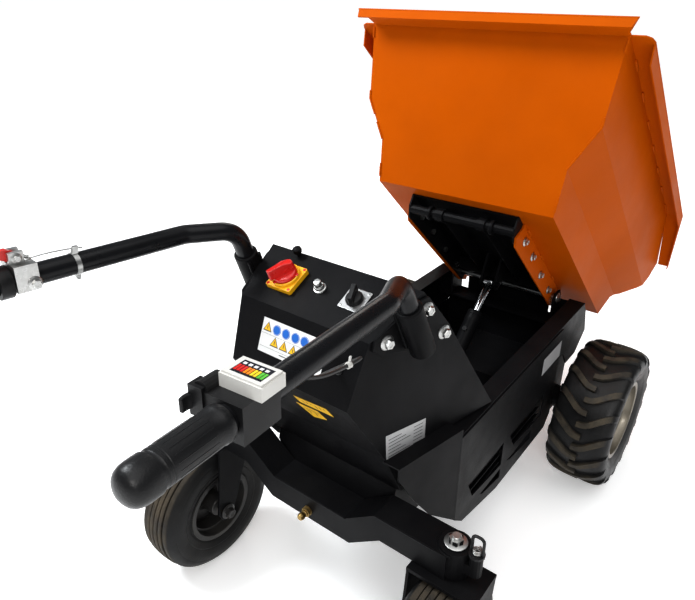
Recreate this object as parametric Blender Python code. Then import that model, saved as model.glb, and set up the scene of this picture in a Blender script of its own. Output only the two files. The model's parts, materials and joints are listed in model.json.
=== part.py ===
# Site dumper: a walk-behind battery mini dumper with a front-tipping skip.
# Metres, +X is the dumping end, +Y the operator's left, +Z up, ground at z = 0.
# It stands on two driven wheels and two trailing casters with the skip tipped part way.
import math

import bmesh
import bpy
from mathutils import Matrix, Vector

# Fits
GAP = 0.0003          # between pieces that touch
RUN = 0.0008          # running clearance of turning joints
SHEET = 0.003

# Wheels
DRIVE_R, DRIVE_W, DRIVE_X, DRIVE_Y = 0.203, 0.165, 0.44, 0.342
DRIVE_BEAD = 0.108
CASTER_R, CASTER_W, CASTER_Y = 0.165, 0.110, 0.327
CASTER_BEAD = 0.082
KING_X, TRAIL = -0.40, 0.05
KING_TUBE_R, KING_PIN_R = 0.031, 0.015
KING_LOW, KING_TOP = 0.352, 0.415

# Frame
FRAME_Y = 0.235       # outer face of the side sheets
RAIL_TOP, RAIL_LOW = 0.492, 0.385
RAIL_REAR, RAIL_FRONT = -0.22, 0.507
COVER_FRONT = 0.337
NOSE_LOW = 0.335
TAIL_X, TAIL_Y = -0.394, 0.197
KEEL_Y = 0.140
PAN_REAR = -0.176

# Console
CON_TAPER = math.tan(math.radians(13.0))
CON_Y0 = 0.2508       # outer half width of the console at x = 0
CON_BASE, CON_LOW = 0.499, 0.404

# Handles
TUBE_R, SOCKET_R = 0.0175, 0.0235
GRIP_END = Vector((-0.950, 0.265, 0.932))
BEND_A = Vector((-0.488, 0.225, 0.908))
BEND_B_XZ, FOOT_XZ = (-0.398, 0.897), (-0.340, 0.752)
GRIP_LEN, POD_FRONT = 0.124, 0.190
CHEEK_PLATE = 0.005

# Skip, measured along its own bottom (u) and square to it (v)
TIP_DEG = 42.85
HINGE = Vector((0.4676, 0.0, 0.5035))
HINGE_U, HINGE_V = 0.4835, -0.033
SKIP_SHEET = 0.003
REAR_SLOPE = -0.63    # how far the rear wall leans back, per unit of v
BANDS = [(0.0, 0.230), (0.088, 0.239), (0.166, 0.291), (0.440, 0.317)]      # (v, half width)
SPLAY = 0.025
NOSE = [(0.645, 0.0), (0.676, 0.070), (0.722, 0.102), (0.768, 0.152), (0.800, 0.205), (0.815, 0.263)]
RIM_REAR_U, RIM_REAR_V, RIM_RISE, CORNER_U = -0.2477, 0.3145, 0.052, 0.645
RIM_W, SIDE_DROP, REAR_DROP, REAR_RIM_Y = 0.045, 0.036, 0.024, 0.321
BRACKET_Y = 0.146
HINGE_R = 0.008

# Throttle cable
CABLE_R = 0.003
SPAN_STEPS = 12       # fine steps between two of the cable's points

# Lift cylinder
BASE = Vector((0.068, 0.0, 0.277))
EYE_U, EYE_V = 0.377, -0.073
BARREL_R, ROD_R = 0.0215, 0.010

TILT = math.radians(TIP_DEG)
U_DIR = Vector((math.cos(TILT), 0.0, -math.sin(TILT)))
V_DIR = Vector((math.sin(TILT), 0.0, math.cos(TILT)))


def skip_point(u, v, y=0.0):
    """A point of the skip, from its distances along and square to its bottom."""
    return HINGE + U_DIR * (u - HINGE_U) + V_DIR * (v - HINGE_V) + Vector((0.0, y, 0.0))


EYE = skip_point(EYE_U, EYE_V)

for old in list(bpy.data.objects):
    bpy.data.objects.remove(old, do_unlink=True)
scene = bpy.context.scene
scene.unit_settings.system = "METRIC"
scene.unit_settings.scale_length = 1.0

ORANGE = (0.60, 0.115, 0.003)
BLACK = (0.012, 0.012, 0.013)
RUBBER = (0.018, 0.017, 0.016)
ZINC = (0.55, 0.55, 0.53)
STEEL = (0.30, 0.30, 0.30)
RED = (0.55, 0.02, 0.015)
YELLOW = (0.80, 0.55, 0.01)
WHITE = (0.75, 0.75, 0.73)
BRASS = (0.55, 0.38, 0.12)


def placed(name, mesh, colour, metal=0.0, rough=0.5, origin=None, smooth=None):
    """Links one body, with its origin on its joint axis and its own material."""
    if origin is not None:
        mesh.transform(Matrix.Translation(-origin))
    if smooth is not None:
        mesh.shade_smooth()
        mesh.set_sharp_from_angle(angle=math.radians(smooth))
    obj = bpy.data.objects.new(name, mesh)
    obj.location = origin if origin is not None else (0.0, 0.0, 0.0)
    scene.collection.objects.link(obj)
    mat = bpy.data.materials.new(name)
    mat.use_nodes = True
    shader = mat.node_tree.nodes["Principled BSDF"]
    shader.inputs["Base Color"].default_value = (*colour, 1.0)
    shader.inputs["Metallic"].default_value = metal
    shader.inputs["Roughness"].default_value = rough
    mat.diffuse_color = (*colour, 1.0)
    mesh.materials.clear()
    mesh.materials.append(mat)
    return obj


def helper(mesh):
    """A body used only to build another one."""
    obj = bpy.data.objects.new("helper", mesh)
    obj.hide_render = True
    obj.display_type = "WIRE"
    scene.collection.objects.link(obj)
    return obj


def joined(first, add=(), cut=()):
    """One mesh from solids added together and then cut."""
    body = helper(first)
    used = [body]
    for kind, others in (("UNION", add), ("DIFFERENCE", cut)):
        for other in others:
            tool = helper(other)
            used.append(tool)
            modifier = body.modifiers.new(kind.lower(), "BOOLEAN")
            modifier.operation = kind
            modifier.solver = "EXACT"
            modifier.object = tool
    bpy.context.view_layer.update()
    graph = bpy.context.evaluated_depsgraph_get()
    mesh = bpy.data.meshes.new_from_object(body.evaluated_get(graph))
    for obj in used:
        bpy.data.objects.remove(obj, do_unlink=True)
    return mesh


def closed(work, name="body"):
    bmesh.ops.remove_doubles(work, verts=work.verts, dist=1e-6)
    bmesh.ops.recalc_face_normals(work, faces=work.faces)
    mesh = bpy.data.meshes.new(name)
    work.to_mesh(mesh)
    work.free()
    return mesh


def slab(corners, depth):
    """A flat polygon given thickness along the vector depth."""
    work = bmesh.new()
    depth = Vector(depth)
    low = [work.verts.new(Vector(c)) for c in corners]
    high = [work.verts.new(Vector(c) + depth) for c in corners]
    work.faces.new(low)
    work.faces.new(reversed(high))
    count = len(low)
    for i in range(count):
        j = (i + 1) % count
        work.faces.new((low[i], high[i], high[j], low[j]))
    return closed(work)


def side_slab(points, y_low, y_high):
    """A plate in the XZ plane from points (x, z)."""
    return slab([(x, y_low, z) for x, z in points], (0.0, y_high - y_low, 0.0))


def cross_slab(points, x_low, x_high):
    """A plate in the YZ plane from points (y, z)."""
    return slab([(x_low, y, z) for y, z in points], (x_high - x_low, 0.0, 0.0))


def box(x0, x1, y0, y1, z0, z1):
    return slab([(x0, y0, z0), (x1, y0, z0), (x1, y1, z0), (x0, y1, z0)], (0.0, 0.0, z1 - z0))


def frame_to(direction):
    """A rotation that takes +Z to the direction."""
    return Vector((0.0, 0.0, 1.0)).rotation_difference(Vector(direction).normalized()).to_matrix().to_4x4()


def rod(start, end, radius, sides=14):
    """A round bar between two points."""
    start, end = Vector(start), Vector(end)
    work = bmesh.new()
    bmesh.ops.create_cone(work, cap_ends=True, segments=sides, radius1=radius, radius2=radius,
                          depth=(end - start).length)
    bmesh.ops.transform(work, verts=work.verts,
                        matrix=Matrix.Translation((start + end) / 2) @ frame_to(end - start))
    return closed(work)


def turned(profile, centre, axis, sides=40):
    """A body of revolution: profile (radius, height along the axis), closed where it leaves the axis."""
    work = bmesh.new()
    turn = Matrix.Translation(Vector(centre)) @ frame_to(axis)
    rings = []
    for radius, height in profile:
        if radius < 1e-7:
            rings.append([work.verts.new(turn @ Vector((0.0, 0.0, height)))])
        else:
            rings.append([work.verts.new(turn @ Vector((radius * math.cos(2 * math.pi * k / sides),
                                                        radius * math.sin(2 * math.pi * k / sides),
                                                        height))) for k in range(sides)])
    pairs = list(zip(rings, rings[1:]))
    if profile[0][0] > 1e-7:
        pairs.append((rings[-1], rings[0]))
    for low, high in pairs:
        for k in range(sides):
            n = (k + 1) % sides
            corners = [low[k % len(low)], low[n % len(low)], high[n % len(high)], high[k % len(high)]]
            corners = [c for i, c in enumerate(corners) if c not in corners[:i]]
            if len(corners) > 2:
                work.faces.new(corners)
    return closed(work)


def swept(path, radius, sides=16):
    """A round tube along a path of points, mitred at each one."""
    path = [Vector(p) for p in path]
    work = bmesh.new()
    rings = []
    way = (path[1] - path[0]).normalized()
    side = way.orthogonal().normalized()
    for i, point in enumerate(path):
        before = (point - path[max(i - 1, 0)]).normalized() if i else (path[1] - path[0]).normalized()
        after = (path[i + 1] - point).normalized() if i + 1 < len(path) else before
        side = (side - before * side.dot(before)).normalized()
        up = before.cross(side)
        plane = (before + after).normalized()
        ring = []
        for k in range(sides):
            angle = 2 * math.pi * k / sides
            spot = point + radius * (math.cos(angle) * side + math.sin(angle) * up)
            ring.append(work.verts.new(spot - before * ((spot - point).dot(plane) / before.dot(plane))))
        rings.append(ring)
    for low, high in zip(rings, rings[1:]):
        for k in range(sides):
            n = (k + 1) % sides
            work.faces.new((low[k], low[n], high[n], high[k]))
    work.faces.new(rings[0])
    work.faces.new(rings[-1])
    return closed(work)


def rounded(points, radius, steps=5):
    """A path with its inner corners rounded."""
    points = [Vector(p) for p in points]
    out = [points[0]]
    for before, corner, after in zip(points, points[1:], points[2:]):
        a, b = (before - corner).normalized(), (after - corner).normalized()
        half = a.angle(b) / 2
        reach = radius / math.tan(half)
        centre = corner + (a + b).normalized() * (radius / math.sin(half))
        start, end = corner + a * reach - centre, corner + b * reach - centre
        turn = start.angle(end)
        for k in range(steps + 1):
            t = k / steps
            swung = start * math.sin((1 - t) * turn) + end * math.sin(t * turn)
            out.append(centre + swung / math.sin(turn))
    out.append(points[-1])
    return out


def smooth_path(points, step):
    """A path on one smooth curve through the points, read every step of its length."""
    points = [Vector(p) for p in points]
    ends = [2 * points[0] - points[1]] + points + [2 * points[-1] - points[-2]]
    fine = []
    for a, b, c, d in zip(ends, ends[1:], ends[2:], ends[3:]):
        for k in range(SPAN_STEPS):
            t = k / SPAN_STEPS
            fine.append((2 * b + (c - a) * t + (2 * a - 5 * b + 4 * c - d) * t * t
                         + (3 * b - a - 3 * c + d) * t ** 3) / 2)
    fine.append(points[-1])
    lengths = [0.0]
    for before, after in zip(fine, fine[1:]):
        lengths.append(lengths[-1] + (after - before).length)
    count = max(2, round(lengths[-1] / step))
    out, i = [], 0
    for k in range(count):
        at = lengths[-1] * k / count
        while lengths[i + 1] < at:
            i += 1
        out.append(fine[i].lerp(fine[i + 1], (at - lengths[i]) / (lengths[i + 1] - lengths[i])))
    return out + [points[-1]]


def mirrored(point, side):
    return Vector((point[0], point[1] * side, point[2]))


SIDES = (("left", 1), ("right", -1))


def con_y(x, inset=0.0):
    """Half width of the console at x."""
    return CON_Y0 + CON_TAPER * x - inset


# ---- Side sheets: vented covers with a flared tail and a narrow ledge from it to the console
def tail_y(x):
    return TAIL_Y + (FRAME_Y - TAIL_Y) * (x - TAIL_X) / (RAIL_REAR - TAIL_X)


for word, s in SIDES:
    straight = [(RAIL_REAR - 0.001, 0.258), (-0.18, 0.222), (0.0, 0.182), (0.305, 0.178),
                (COVER_FRONT, 0.212), (COVER_FRONT, RAIL_TOP - 0.006), (RAIL_REAR - 0.001, RAIL_TOP - 0.006)]
    sheet = side_slab(straight, s * FRAME_Y, s * (FRAME_Y - SHEET))
    tail = [(-0.348, 0.40), (-0.30, 0.330), (RAIL_REAR + 0.002, 0.2562),
            (RAIL_REAR + 0.002, RAIL_TOP + 0.018),
            (TAIL_X, RAIL_TOP + 0.018), (TAIL_X, RAIL_TOP - 0.01)]
    flare = slab([(x, s * tail_y(x), z) for x, z in tail], (0.0, -s * SHEET, 0.0))
    ledge = slab([(TAIL_X, s * tail_y(TAIL_X), RAIL_TOP + 0.018),
                  (RAIL_REAR + 0.002, s * tail_y(RAIL_REAR + 0.002), RAIL_TOP + 0.018),
                  (RAIL_REAR + 0.002, s * con_y(RAIL_REAR + 0.002, -GAP), RAIL_TOP + 0.018),
                  (TAIL_X, s * con_y(TAIL_X, -GAP), RAIL_TOP + 0.018)], (0.0, 0.0, -SHEET))
    slots = []
    for x0, x1, z0, drop in ((-0.165, 0.015, 0.318, 0.082), (-0.095, 0.015, 0.236, 0.040),
                             (0.050, 0.262, 0.318, 0.082), (0.050, 0.200, 0.236, 0.040)):
        slope = 0.42 * (x1 - x0)
        slots.append(side_slab([(x0, z0), (x1, z0), (x1, z0 - drop + 0.012),
                                (x0 + 0.35 * slope, z0 - drop + 0.030)], s * (FRAME_Y + 0.01),
                                s * (FRAME_Y - 0.02)))
    placed("side_cover_" + word, joined(sheet, add=(flare, ledge), cut=slots), BLACK, 0.3, 0.35)

    # Frame rail: a channel with its top flange turned inwards
    web_out, web_in = FRAME_Y - SHEET - GAP, FRAME_Y - SHEET - GAP - 0.004
    section = [(web_out, RAIL_LOW), (web_out, RAIL_TOP), (0.186, RAIL_TOP), (0.186, RAIL_TOP - 0.004),
               (web_in, RAIL_TOP - 0.004), (web_in, RAIL_LOW + 0.004), (0.192, RAIL_LOW + 0.004),
               (0.192, RAIL_LOW)]
    rail = cross_slab([(s * y, z) for y, z in section], RAIL_REAR + 0.004, RAIL_FRONT)
    nose = side_slab([(RAIL_FRONT - 0.127, RAIL_LOW + 0.001), (RAIL_FRONT - 0.087, NOSE_LOW),
                      (RAIL_FRONT - 0.017, NOSE_LOW), (RAIL_FRONT + 0.045, RAIL_LOW),
                      (RAIL_FRONT + 0.017, RAIL_TOP - 0.028), (RAIL_FRONT - 0.007, RAIL_TOP - 0.001),
                      (RAIL_FRONT - 0.127, RAIL_TOP - 0.001)], s * web_out, s * web_in)
    placed("rail_" + word, joined(rail, add=(nose,)), BLACK, 0.3, 0.35)

# ---- Front cross plate between the rails, notched for the skip brackets, with the hinge ears
cross_w = FRAME_Y - SHEET - GAP - 0.004 - GAP
notch_out, notch_in = BRACKET_Y + 0.0105, BRACKET_Y - 0.014
edge = [(cross_w, RAIL_LOW + 0.0045), (cross_w, RAIL_TOP - 0.0045), (notch_out, RAIL_TOP - 0.0045),
        (notch_out, 0.434), (notch_in, 0.434), (notch_in, RAIL_TOP - 0.0045)]
plate = cross_slab(edge + [(-y, z) for y, z in reversed(edge)], 0.498, 0.502)
ears = [side_slab([(HINGE.x - 0.026, 0.43), (HINGE.x + 0.032, 0.43), (HINGE.x + 0.032, HINGE.z - 0.012),
                   (HINGE.x + 0.016, HINGE.z + 0.019), (HINGE.x - 0.016, HINGE.z + 0.019),
                   (HINGE.x - 0.026, HINGE.z - 0.012)],
                  s * (BRACKET_Y + 0.011), s * (BRACKET_Y + 0.017)) for s in (1, -1)]
tie = box(HINGE.x - 0.026, 0.500, -0.186, 0.186, 0.4255, 0.432)
bore = rod((HINGE.x, -0.2, HINGE.z), (HINGE.x, 0.2, HINGE.z), HINGE_R + RUN)
placed("front_cross_plate", joined(plate, add=[tie] + ears, cut=[bore]), BLACK, 0.3, 0.35)

# ---- Belly pan: bent sheet under the battery, open at the cylinder's foot only from above
pan_w = FRAME_Y - SHEET - GAP
pan = [(PAN_REAR, 0.2265), (0.0, 0.1865), (0.272, 0.1825)]
pan += [(x, z - SHEET) for x, z in reversed(pan)]
placed("belly_pan", side_slab(pan, -pan_w, pan_w), BLACK, 0.3, 0.4)

# ---- Cylinder foot: a crossbar between the side sheets with two ears round the cylinder's lower pin
bar = box(BASE.x - 0.04, BASE.x + 0.04, -pan_w, pan_w, 0.200, 0.232)
foot_ears = [side_slab([(BASE.x - 0.032, 0.225), (BASE.x + 0.032, 0.225), (BASE.x + 0.020, BASE.z + 0.014),
                        (BASE.x + 0.008, BASE.z + 0.022), (BASE.x - 0.008, BASE.z + 0.022),
                        (BASE.x - 0.020, BASE.z + 0.014)], s * 0.0275, s * 0.0345) for s in (1, -1)]
placed("cylinder_foot", joined(bar, add=foot_ears, cut=[rod((BASE.x, -0.06, BASE.z), (BASE.x, 0.06, BASE.z),
                                                            0.0072 + GAP)]), BLACK, 0.3, 0.4)
placed("cylinder_foot_pin", joined(rod((BASE.x, -0.040, BASE.z), (BASE.x, 0.041, BASE.z), 0.0072),
                                   add=[rod((BASE.x, 0.0348, BASE.z), (BASE.x, 0.0415, BASE.z), 0.0115)]),
       ZINC, 1.0, 0.35)

# ---- Battery pack: a plain block on the belly pan
pan_slope = (0.1865 - 0.2265) / -PAN_REAR
placed("battery_pack", side_slab([(-0.168, 0.1865 - 0.168 * pan_slope + GAP), (0.0, 0.1865 + GAP),
                                  (0.0, 0.452),
                                  (-0.168, 0.452)], -0.165, 0.165),
       (0.05, 0.05, 0.06), 0.0, 0.6)

# ---- Drive axle: gearbox and motor between two tubes, hung from the rails by plates
tube_in = DRIVE_Y - DRIVE_W / 2 - 0.004
axle = rod((DRIVE_X, -tube_in, DRIVE_R), (DRIVE_X, tube_in, DRIVE_R), 0.033, 18)
gear = turned([(0.0, -0.075), (0.055, -0.075), (0.078, -0.055), (0.082, -0.010), (0.082, 0.015),
               (0.060, 0.045),
               (0.045, 0.060), (0.0, 0.060)], (DRIVE_X, -0.02, DRIVE_R), (0, 1, 0), 20)
neck = box(DRIVE_X - 0.11, DRIVE_X, -0.055, 0.015, DRIVE_R - 0.045, DRIVE_R + 0.050)
motor = rod((DRIVE_X - 0.10, -0.075, DRIVE_R + 0.004), (DRIVE_X - 0.10, 0.130, DRIVE_R + 0.004), 0.052, 18)
hangers = [side_slab([(DRIVE_X - 0.045, DRIVE_R - 0.045), (DRIVE_X + 0.045, DRIVE_R - 0.045),
                      (DRIVE_X + 0.055, RAIL_LOW - GAP), (DRIVE_X - 0.055, RAIL_LOW - GAP)],
                     s * 0.198, s * 0.210) for s in (1, -1)]
stubs = [rod((DRIVE_X, s * (tube_in - 0.01), DRIVE_R), (DRIVE_X, s * (DRIVE_Y - 0.010), DRIVE_R), 0.0145, 14)
         for s in (1, -1)]
placed("drive_axle", joined(axle, add=[gear, neck, motor] + hangers + stubs), BLACK, 0.4, 0.45, smooth=35)

# ---- Rear lower face: a sloped plate under the console and a recessed panel below it
slope_top, slope_low = (-0.3445, 0.402), (-0.362, 0.346)
bent = slab([(slope_top[0], -0.160, slope_top[1]), (slope_top[0], 0.160, slope_top[1]),
             (-0.352, 0.160, 0.378), (slope_low[0], 0.128, slope_low[1]),
             (slope_low[0], -0.128, slope_low[1]),
             (-0.352, -0.160, 0.378)], (0.0035, 0.0, 0.0))
recess = side_slab([(-0.338, 0.402), (-0.334, 0.402), (-0.326, 0.262), (-0.330, 0.262)], -KEEL_Y, KEEL_Y)
keel = side_slab([(-0.330, 0.262), (-0.330, 0.266), (PAN_REAR - GAP, 0.234), (PAN_REAR - GAP, 0.230)],
                 -KEEL_Y, KEEL_Y)
keel_sides = [side_slab([(-0.338, 0.402), (-0.330, 0.262), (PAN_REAR - GAP, 0.230), (PAN_REAR - GAP, 0.402)],
                        s * KEEL_Y, s * (KEEL_Y - SHEET)) for s in (1, -1)]
shelf = box(slope_top[0], -0.334, -0.160, 0.160, 0.3985, CON_LOW - GAP)
pivot_block = box(-0.367 + GAP, -0.328, -0.040, 0.040, 0.292, 0.345)
placed("rear_panel", joined(bent, add=[recess, keel] + keel_sides + [shelf, pivot_block]), BLACK, 0.3, 0.4)
button_at = Vector((-0.3323 - 2 * GAP, 0.054, 0.300))
button_out = Vector((-1.0, 0.0, -0.057)).normalized()
placed("reset_button", joined(rod(button_at, button_at + button_out * 0.004, 0.013),
                              add=[rod(button_at + button_out * 0.003, button_at + button_out * 0.013,
                                       0.0085)]),
       RED, 0.0, 0.35, smooth=35)

# ---- Rear axle beam: gull-wing box with a kingpin tube at each end
beam_back, beam_front = -0.435, -0.367
wing = [(0.0, 0.294), (0.108, 0.294), (0.183, 0.352), (CASTER_Y, 0.352), (CASTER_Y, 0.410), (0.170, 0.410),
        (0.098, 0.356), (0.0, 0.356)]
outline = wing + [(-y, z) for y, z in reversed(wing) if y > 0]
tubes = [rod((KING_X, s * CASTER_Y, KING_LOW), (KING_X, s * CASTER_Y, KING_TOP), KING_TUBE_R, 20) for s in (1,
    -1)]
end_cut = [rod((KING_X, s * CASTER_Y, 0.30), (KING_X, s * CASTER_Y, 0.45), KING_PIN_R + RUN, 16) for s in (1,
    -1)]
lock = []
for s in (1, -1):
    lock += [rod((KING_X - 0.004, s * (CASTER_Y + 0.044), 0.372),
                 (KING_X - 0.004, s * (CASTER_Y + 0.044), 0.418), 0.0125),
             box(KING_X - 0.016, KING_X + 0.008, s * CASTER_Y + s * 0.020 - 0.02,
                 s * CASTER_Y + s * 0.020 + 0.02,
                 0.372, 0.396)]
placed("rear_axle_beam", joined(cross_slab(outline, beam_back, beam_front), add=tubes + lock, cut=end_cut),
       BLACK, 0.3, 0.4, smooth=30)
placed("axle_pivot_pin", joined(rod((beam_back - GAP, 0.0, 0.318), (beam_back - 0.016, 0.0, 0.318), 0.011),
                                add=[rod((beam_back - 0.015, 0.0, 0.318), (beam_back - 0.030, 0.0, 0.318),
                                         0.0055)]),
       BRASS, 1.0, 0.4, smooth=35)
for word, s in SIDES:
    y = s * (CASTER_Y + 0.044)
    handle = swept(rounded([(KING_X - 0.004, y - 0.011, 0.4185), (KING_X - 0.004, y - 0.011, 0.462),
                            (KING_X - 0.004, y + 0.011, 0.462), (KING_X - 0.004, y + 0.011, 0.4185)], 0.008,
                            3),
                   0.003, 8)
    placed("swivel_lock_" + word, joined(handle, add=[rod((KING_X - 0.004, y, 0.4183),
                                                          (KING_X - 0.004, y, 0.4235),
                                                          0.015)]), ZINC, 1.0, 0.4, smooth=35)


# ---- Console: a folded sheet hood, tapered in plan and open underneath
CONSOLE = [(-0.084, CON_BASE), (-0.240, 0.752), (-0.310, 0.842), (-0.430, 0.785), (-0.478, 0.668),
           (-0.386, CON_BASE + 0.008), (-0.345, CON_LOW), (-0.320, CON_LOW), (-0.320, CON_BASE)]
CAVITY = [(-0.096, CON_BASE - 0.02), (-0.2425, 0.7495), (-0.3112, 0.8375), (-0.4275, 0.7825),
          (-0.4740, 0.6685),
          (-0.3830, CON_BASE + 0.0085), (-0.3420, 0.40), (-0.300, 0.39)]


def tapered(points, inset):
    work = bmesh.new()
    rows = [[work.verts.new((x, s * con_y(x, inset), z)) for x, z in points] for s in (1, -1)]
    work.faces.new(rows[0])
    work.faces.new(rows[1])
    for i in range(len(points)):
        j = (i + 1) % len(points)
        work.faces.new((rows[0][i], rows[0][j], rows[1][j], rows[1][i]))
    return closed(work)


placed("console", joined(tapered(CONSOLE, 0.0), cut=[tapered(CAVITY, SHEET)]), BLACK, 0.3, 0.32)


def cheek_slab(points, near, far, s):
    """A plate alongside the console's tapered cheek."""
    return slab([(x, s * con_y(x, -near), z) for x, z in points], (0.0, s * (far - near), 0.0))


# ---- Handles: sockets welded to cheek plates, with bent tubes running back to the grips
def grip_line(s, distance):
    """A point along the straight rear part of a handle, from its rear end."""
    a, end = mirrored(BEND_A, s), mirrored(GRIP_END, s)
    return end + (a - end).normalized() * distance


TUBE_OUT = GAP + CHEEK_PLATE + SOCKET_R - 0.0015
for word, s in SIDES:
    bend_b = Vector((BEND_B_XZ[0], s * con_y(BEND_B_XZ[0], -TUBE_OUT), BEND_B_XZ[1]))
    foot = Vector((FOOT_XZ[0], s * con_y(FOOT_XZ[0], -TUBE_OUT), FOOT_XZ[1]))
    down = (foot - bend_b).normalized()
    tube = swept(rounded([grip_line(s, 0.012), mirrored(BEND_A, s), bend_b, foot], 0.040, 4), TUBE_R, 14)
    sleeve = rod(bend_b + down * 0.058, foot + down * 0.006, SOCKET_R, 16)
    plate = cheek_slab([(-0.428, 0.770), (-0.405, 0.752), (-0.385, 0.750), (-0.335, 0.735), (-0.262, 0.727),
                        (-0.238, 0.742), (-0.244, 0.754), (-0.303, 0.832), (-0.330, 0.829), (-0.4235, 0.790)],
                       GAP, GAP + CHEEK_PLATE, s)
    placed("handlebar_" + word, joined(tube, add=[sleeve, plate]), BLACK, 0.3, 0.3, smooth=35)

    # Grip: a rubber sleeve with a domed end
    start, far = grip_line(s, 0.0), grip_line(s, GRIP_LEN)
    axis = far - start
    span = axis.length
    grip = turned([(0.0, -0.004), (0.010, -0.003), (0.0195, 0.003), (0.0225, 0.010), (0.0225, 0.030),
                   (0.0200, 0.034),
                   (0.0200, 0.040), (0.0213, 0.044), (0.0213, span - 0.012), (0.0225, span - 0.010),
                   (0.0225, span - 0.002), (0.0215, span), (0.0192, span), (0.0192, 0.012 - GAP),
                   (0.0, 0.012 - GAP)], start, axis, 16)
    placed("grip_" + word, grip, RUBBER, 0.0, 0.75, smooth=40)

# Throttle pod and battery gauge on the right handle, brake lever on the left one
def beside(s, distance, across, up):
    """A point off a handle's axis: across is outward, up is square to both."""
    way = (mirrored(BEND_A, s) - mirrored(GRIP_END, s)).normalized()
    out = Vector((-way.y, way.x, 0.0)).normalized() * s
    rise = way.cross(out) * s
    return grip_line(s, distance) + out * across + rise * up


def off_bar(s, d0, d1, a0, a1, u0, u1):
    """A block lying along a handle."""
    return slab([beside(s, d0, a0, u0), beside(s, d1, a0, u0), beside(s, d1, a1, u0), beside(s, d0, a1, u0)],
                beside(s, d0, a0, u1) - beside(s, d0, a0, u0))


TUBE_FIT = 1 / math.cos(math.pi / 14)      # a faceted bore's flats clear a faceted tube's corners


def bar_bore(s, d0, d1):
    return rod(grip_line(s, d0), grip_line(s, d1), (TUBE_R + GAP) * TUBE_FIT, 14)


pod = joined(off_bar(-1, 0.130, POD_FRONT, -0.044, 0.023, -0.026, 0.021),
             add=[off_bar(-1, 0.127, 0.146, -0.050, -0.030, -0.012, 0.026),
                  rod(beside(-1, 0.132, -0.036, 0.021), beside(-1, 0.160, -0.036, 0.021), 0.010, 16)],
             cut=[bar_bore(-1, 0.10, 0.22)])
placed("throttle_pod", pod, BLACK, 0.0, 0.5)
placed("thumb_lever", joined(off_bar(-1, 0.130, 0.143, -0.058, -0.0505, -0.004, 0.050),
                             add=[off_bar(-1, 0.126, 0.143, -0.063, -0.0515, 0.042, 0.050)]), BLACK, 0.0, 0.5)
placed("battery_gauge", joined(off_bar(-1, 0.148, 0.187, -0.025, 0.033, 0.021 + GAP, 0.038),
                               add=[off_bar(-1, 0.150, 0.185, -0.023, 0.031, 0.036, 0.0405)]), WHITE, 0.0,
                               0.4)
bracket = joined(off_bar(1, 0.158, 0.192, -0.026, 0.023, -0.014, 0.028),
                 add=[off_bar(1, 0.158, 0.180, -0.013, -0.005 - GAP, 0.026, 0.046),
                      off_bar(1, 0.158, 0.180, 0.005 + GAP, 0.013, 0.026, 0.046)],
                 cut=[bar_bore(1, 0.14, 0.21)])
placed("lever_bracket", bracket, ZINC, 1.0, 0.45)
blade = [(0.172, 0.030), (0.164, 0.028 + GAP), (0.150, 0.036), (0.090, 0.041), (0.034, 0.041), (0.022, 0.036),
         (0.018, 0.042), (0.028, 0.052), (0.095, 0.054), (0.160, 0.050), (0.172, 0.043)]
lever = joined(slab([beside(1, along, -0.005, up) for along, up in blade],
                    beside(1, 0.0, 0.005, 0.0) - beside(1, 0.0, -0.005, 0.0)),
               add=[off_bar(1, 0.030, 0.145, -0.009, 0.009, 0.045, 0.051)])
placed("brake_lever", lever, RED, 0.2, 0.4)

# Thin cable from the throttle pod, slung below the handle and into the console's rear face
face = Vector((-0.454, -0.105, 0.7265))
face_out = Vector((-0.117, 0.0, 0.048)).normalized()
loop = smooth_path([beside(-1, POD_FRONT + GAP, -0.034, -0.010), beside(-1, 0.212, -0.034, -0.012),
                    beside(-1, 0.245, -0.034, -0.024), beside(-1, 0.290, -0.034, -0.046),
                    beside(-1, 0.345, -0.033, -0.072), beside(-1, 0.400, -0.033, -0.086),
                    beside(-1, 0.448, -0.034, -0.093),
                    face + face_out * 0.052 + Vector((0.0, 0.0, -0.004)), face + face_out * 0.022,
                    face + face_out * GAP], 2.5 * CABLE_R * 2)
cord = bpy.data.curves.new("throttle_cable", "CURVE")
cord.dimensions = "3D"
cord.bevel_depth, cord.bevel_resolution, cord.use_fill_caps = CABLE_R, 2, True
spline = cord.splines.new("POLY")
spline.points.add(len(loop) - 1)
for spot, place in zip(spline.points, loop):
    spot.co = (*place, 1.0)
cable = bpy.data.objects.new("throttle_cable", cord)
scene.collection.objects.link(cable)
cable.data.materials.append(bpy.data.materials["throttle_pod"])

# ---- Switches on the sloped control panel
PANEL_LOW, PANEL_TOP = Vector((-0.430, 0.0, 0.785)), Vector((-0.310, 0.0, 0.842))
PANEL_WAY = (PANEL_TOP - PANEL_LOW).normalized()
PANEL_UP = Vector((-PANEL_WAY.z, 0.0, PANEL_WAY.x))


def on_panel(run, y, height):
    return PANEL_LOW + PANEL_WAY * run + PANEL_UP * height + Vector((0.0, y, 0.0))


def panel_block(run, y, half, low, high):
    return slab([on_panel(run - half, y - half, low), on_panel(run + half, y - half, low),
                 on_panel(run + half, y + half, low), on_panel(run - half, y + half, low)],
                 PANEL_UP * (high - low))


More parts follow.
